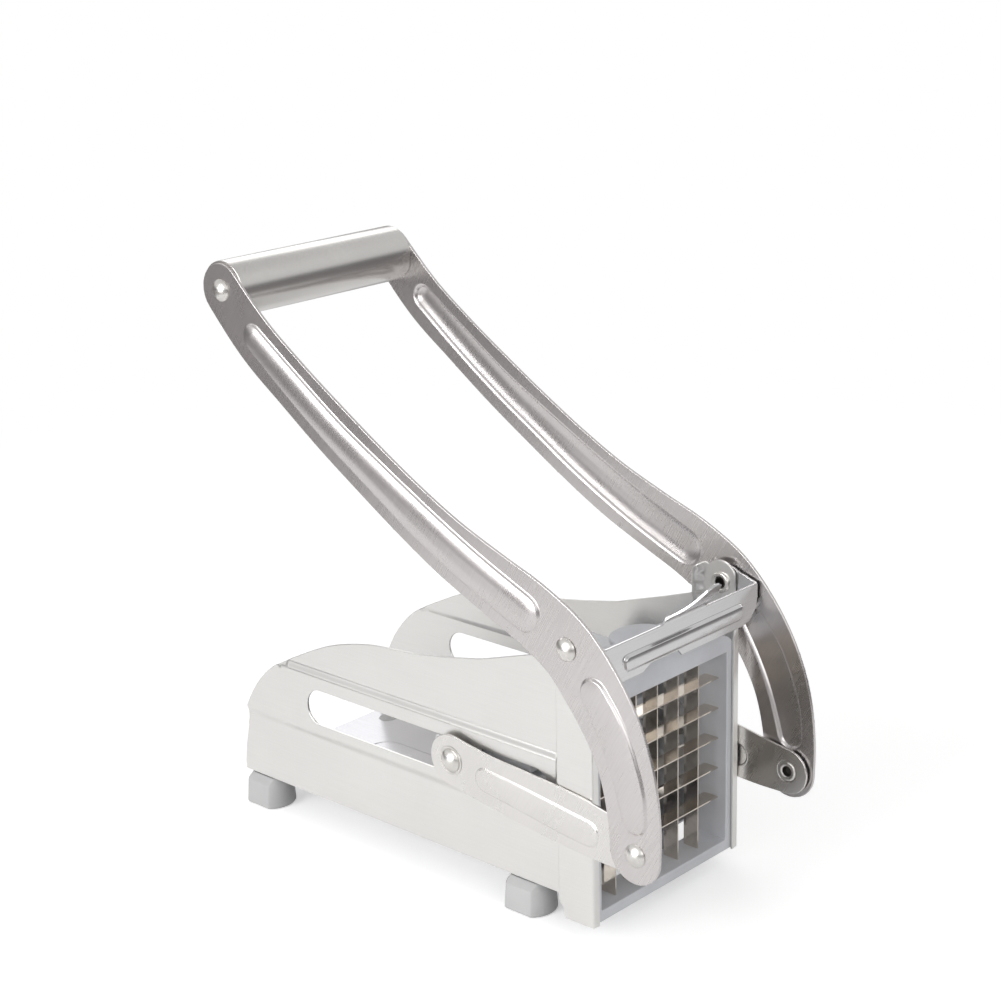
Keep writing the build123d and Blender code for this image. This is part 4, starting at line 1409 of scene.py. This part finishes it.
def foot_shape(x):
    """One far foot, from its sole to its plug."""
    levels = [
        (SOLE, FEET_Z, 0.7),
        (SOLE, FEET_Z + 0.12, 0.35),
        (SOLE, FEET_Z + 0.45, 0.05),
        (SOLE, FEET_Z + 0.9),
        (between(SOLE, WAIST, 0.95), WAIST_Z - 0.3),
        (WAIST, WAIST_Z, 0.06),
        (between(WAIST, LEDGE, 0.1), WAIST_Z + 0.2, 0.02),
        (LEDGE, LEDGE_Z - 0.2),
        (LEDGE, LEDGE_Z, 0.2),
        (PAD, LEDGE_Z + 0.02),
        (PAD, FLOOR_Z),
    ]
    floor_top = FLOOR_Z + SHEET
    plug = [(PLUG_R, FLOOR_Z - 0.4), (PLUG_R, floor_top - 0.2), (PLUG_R - 0.2, floor_top)]
    plug_loops = [at_height(circle((x, PLUG_Y), radius, 28), z) for radius, z in plug]
    return joined(stacked([foot_loop(x, *level) for level in levels]), stacked(plug_loops))


for end, x in zip(("front", "rear"), FEET_X):
    place_sides(end + "_{}_moulded_foot", foot_shape(x), foot_plastic, "base", "foot_plastic",
                end + "_{}_foot")

# %% [markdown]
# The lens looks down on the cutter from in front of its near side, far enough away to keep
# the lines nearly parallel. A camera is a frame of three directions: its right, its up, and
# backwards along the line of sight. They are worked out from three angles.

# %% Camera
AZIMUTH, DOWN, ROLL = math.radians(42.80), math.radians(17.42), math.radians(-1.42)
LENS_PIXELS, PICTURE = 2158.75, 1001
SENSOR = 36.0
EYE = Vector((443.87, -558.92, 326.13))


def aim_camera():
    """A camera with the cutter's own view: direction, roll and distance."""
    forward = Vector((
        -math.sin(AZIMUTH) * math.cos(DOWN),
        math.cos(AZIMUTH) * math.cos(DOWN),
        -math.sin(DOWN),
    ))
    level_right = Vector((math.cos(AZIMUTH), math.sin(AZIMUTH), 0))
    level_up = level_right.cross(forward)
    right = level_right * math.cos(ROLL) + level_up * math.sin(ROLL)
    up = level_up * math.cos(ROLL) - level_right * math.sin(ROLL)
    lens = bpy.data.cameras.new("view")
    lens.sensor_width = SENSOR
    lens.lens = LENS_PIXELS / PICTURE * SENSOR
    lens.clip_start = 0.02
    lens.clip_end = 100
    camera = bpy.data.objects.new("view", lens)
    turn = Matrix((right, up, -forward)).transposed().to_4x4()
    camera.matrix_world = Matrix.Translation(TO_FRAME @ EYE) @ turn
    bpy.context.scene.collection.objects.link(camera)
    bpy.context.scene.camera = camera
    return camera


camera = aim_camera()
print("camera at", [round(v, 3) for v in camera.location], "lens", round(camera.data.lens, 2))

# %% [markdown]
# The cutter stands on a white table with no visible edge. Near the feet it is matte paper
# with a faint glow, which takes the shadow; further out it fades into pure white for the
# camera alone. Light Path nodes tell camera rays from reflections, so that the steel can
# mirror a darker far table, as it would in a room.

# %% Table
TABLE_HALF = 12.0
TABLE_DROP = 0.0002
MIRROR_NEAR, MIRROR_FAR = 0.36, 0.56
OPEN_NEAR, OPEN_FAR = 0.25, 0.7
NEAR_PAPER, FAR_PAPER = (0.8, 0.8, 0.8, 1), (0.26, 0.25, 0.25, 1)
WHITE = (1, 1, 1, 1)
SHOWN_GLOW, MIRROR_GLOW = 0.4, 0.1


def white_table():
    """A wide pale floor under the feet."""
    corners = [(-1, -1), (1, -1), (1, 1), (-1, 1)]
    spots = [(a * TABLE_HALF, b * TABLE_HALF, 0) for a, b in corners]
    mesh = bpy.data.meshes.new("table")
    mesh.from_pydata(spots, [], [(0, 1, 2, 3)])
    material, tree = new_material("table_white")
    spot = tree.node("TexCoord", out="Object")
    reach = tree.node("VectorMath", {"operation": "LENGTH"}, {0: spot}, out="Value")
    shown = tree.node("LightPath", out="Is Camera Ray")
    in_mirror = tree.node("LightPath", out="Is Glossy Ray")
    far_off = reach.ramp(MIRROR_NEAR, MIRROR_FAR) * in_mirror
    paper = tree.node("BsdfDiffuse", {}, {"Color": far_off.blend(NEAR_PAPER, FAR_PAPER)})
    glow = shown * SHOWN_GLOW + (in_mirror - far_off) * MIRROR_GLOW
    glow = tree.node("Emission", {}, {"Color": WHITE, "Strength": glow})
    near_light = tree.node("AddShader", {}, {0: paper, 1: glow})
    page = tree.node("Emission", {}, {"Color": WHITE, "Strength": 1.0})
    open_floor = reach.ramp(OPEN_NEAR, OPEN_FAR) * shown
    light = tree.node("MixShader", {}, {0: open_floor, 1: near_light, 2: page})
    tree.node("OutputMaterial", {}, {"Surface": light})
    mesh.materials.append(material)
    table = bpy.data.objects.new("table", mesh)
    bpy.context.scene.collection.objects.link(table)
    table.location.z = -TABLE_DROP
    return table


table = white_table()
print(f"{table.name}: {table.dimensions.x:.0f} m wide")

# %% [markdown]
# One large soft lamp on the near side lights the cutter, and two weak ones fill in from the
# front and the back. Area lamps are used because bright steel shows the lamps themselves,
# and a small hard lamp would leave a glaring dot on every rivet.

# %% Lamps


def soft_lamp(name, spot, aim_z, size, power):
    """A round soft lamp that points at a height over the cutter's middle."""
    lamp = bpy.data.lights.new(name, "AREA")
    lamp.shape = "DISK"
    lamp.size = size
    lamp.energy = power
    holder = bpy.data.objects.new(name, lamp)
    holder.location = spot
    way = Vector((0, 0, aim_z)) - Vector(spot)
    holder.rotation_euler = way.to_track_quat("-Z", "Y").to_euler()
    bpy.context.scene.collection.objects.link(holder)
    print(f"{name}: {power} W from {way.length:.2f} m")


soft_lamp("key_lamp", (-0.20, -1.58, 0.54), aim_z=0.12, size=1.2, power=21.5)
soft_lamp("front_lamp", (1.5, -0.9, 0.9), aim_z=0.08, size=1.0, power=4)
soft_lamp("back_lamp", (-1.3, 1.2, 1.3), aim_z=0.1, size=1.2, power=4)

# %% [markdown]
# The room around the table is a grey sky whose tone changes with height: dim near the
# horizon, so that upright steel has a dark band to show, and pale above. The camera itself
# sees plain white behind the cutter.

# %% Surroundings
SKY_STOPS = [(0.0, 0.16), (0.08, 0.20), (0.2, 0.75), (0.6, 0.75), (1.0, 0.55)]


def grey_room():
    """The world: a grey room for light and reflections, white for the camera."""
    world = bpy.data.worlds.new("studio")
    world.use_nodes = True
    world.node_tree.nodes.clear()
    sky = Wire(world.node_tree)
    way = sky.node("TexCoord", out="Generated")
    height = sky.node("SeparateXYZ", {}, {0: way}, out="Z")
    tone = sky.node("ValToRGB", {"stops": SKY_STOPS}, {0: height})
    seen = sky.node("LightPath", out="Is Camera Ray")
    room = sky.node("Background", {}, {"Color": tone, "Strength": 1.0})
    page = sky.node("Background", {}, {"Color": WHITE, "Strength": 1.0})
    both = sky.node("MixShader", {}, {0: seen, 1: room, 2: page})
    sky.node("OutputWorld", {}, {"Surface": both})
    return world


bpy.context.scene.world = grey_room()
bpy.context.scene.view_settings.view_transform = "Standard"
print("world:", bpy.context.scene.world.name)
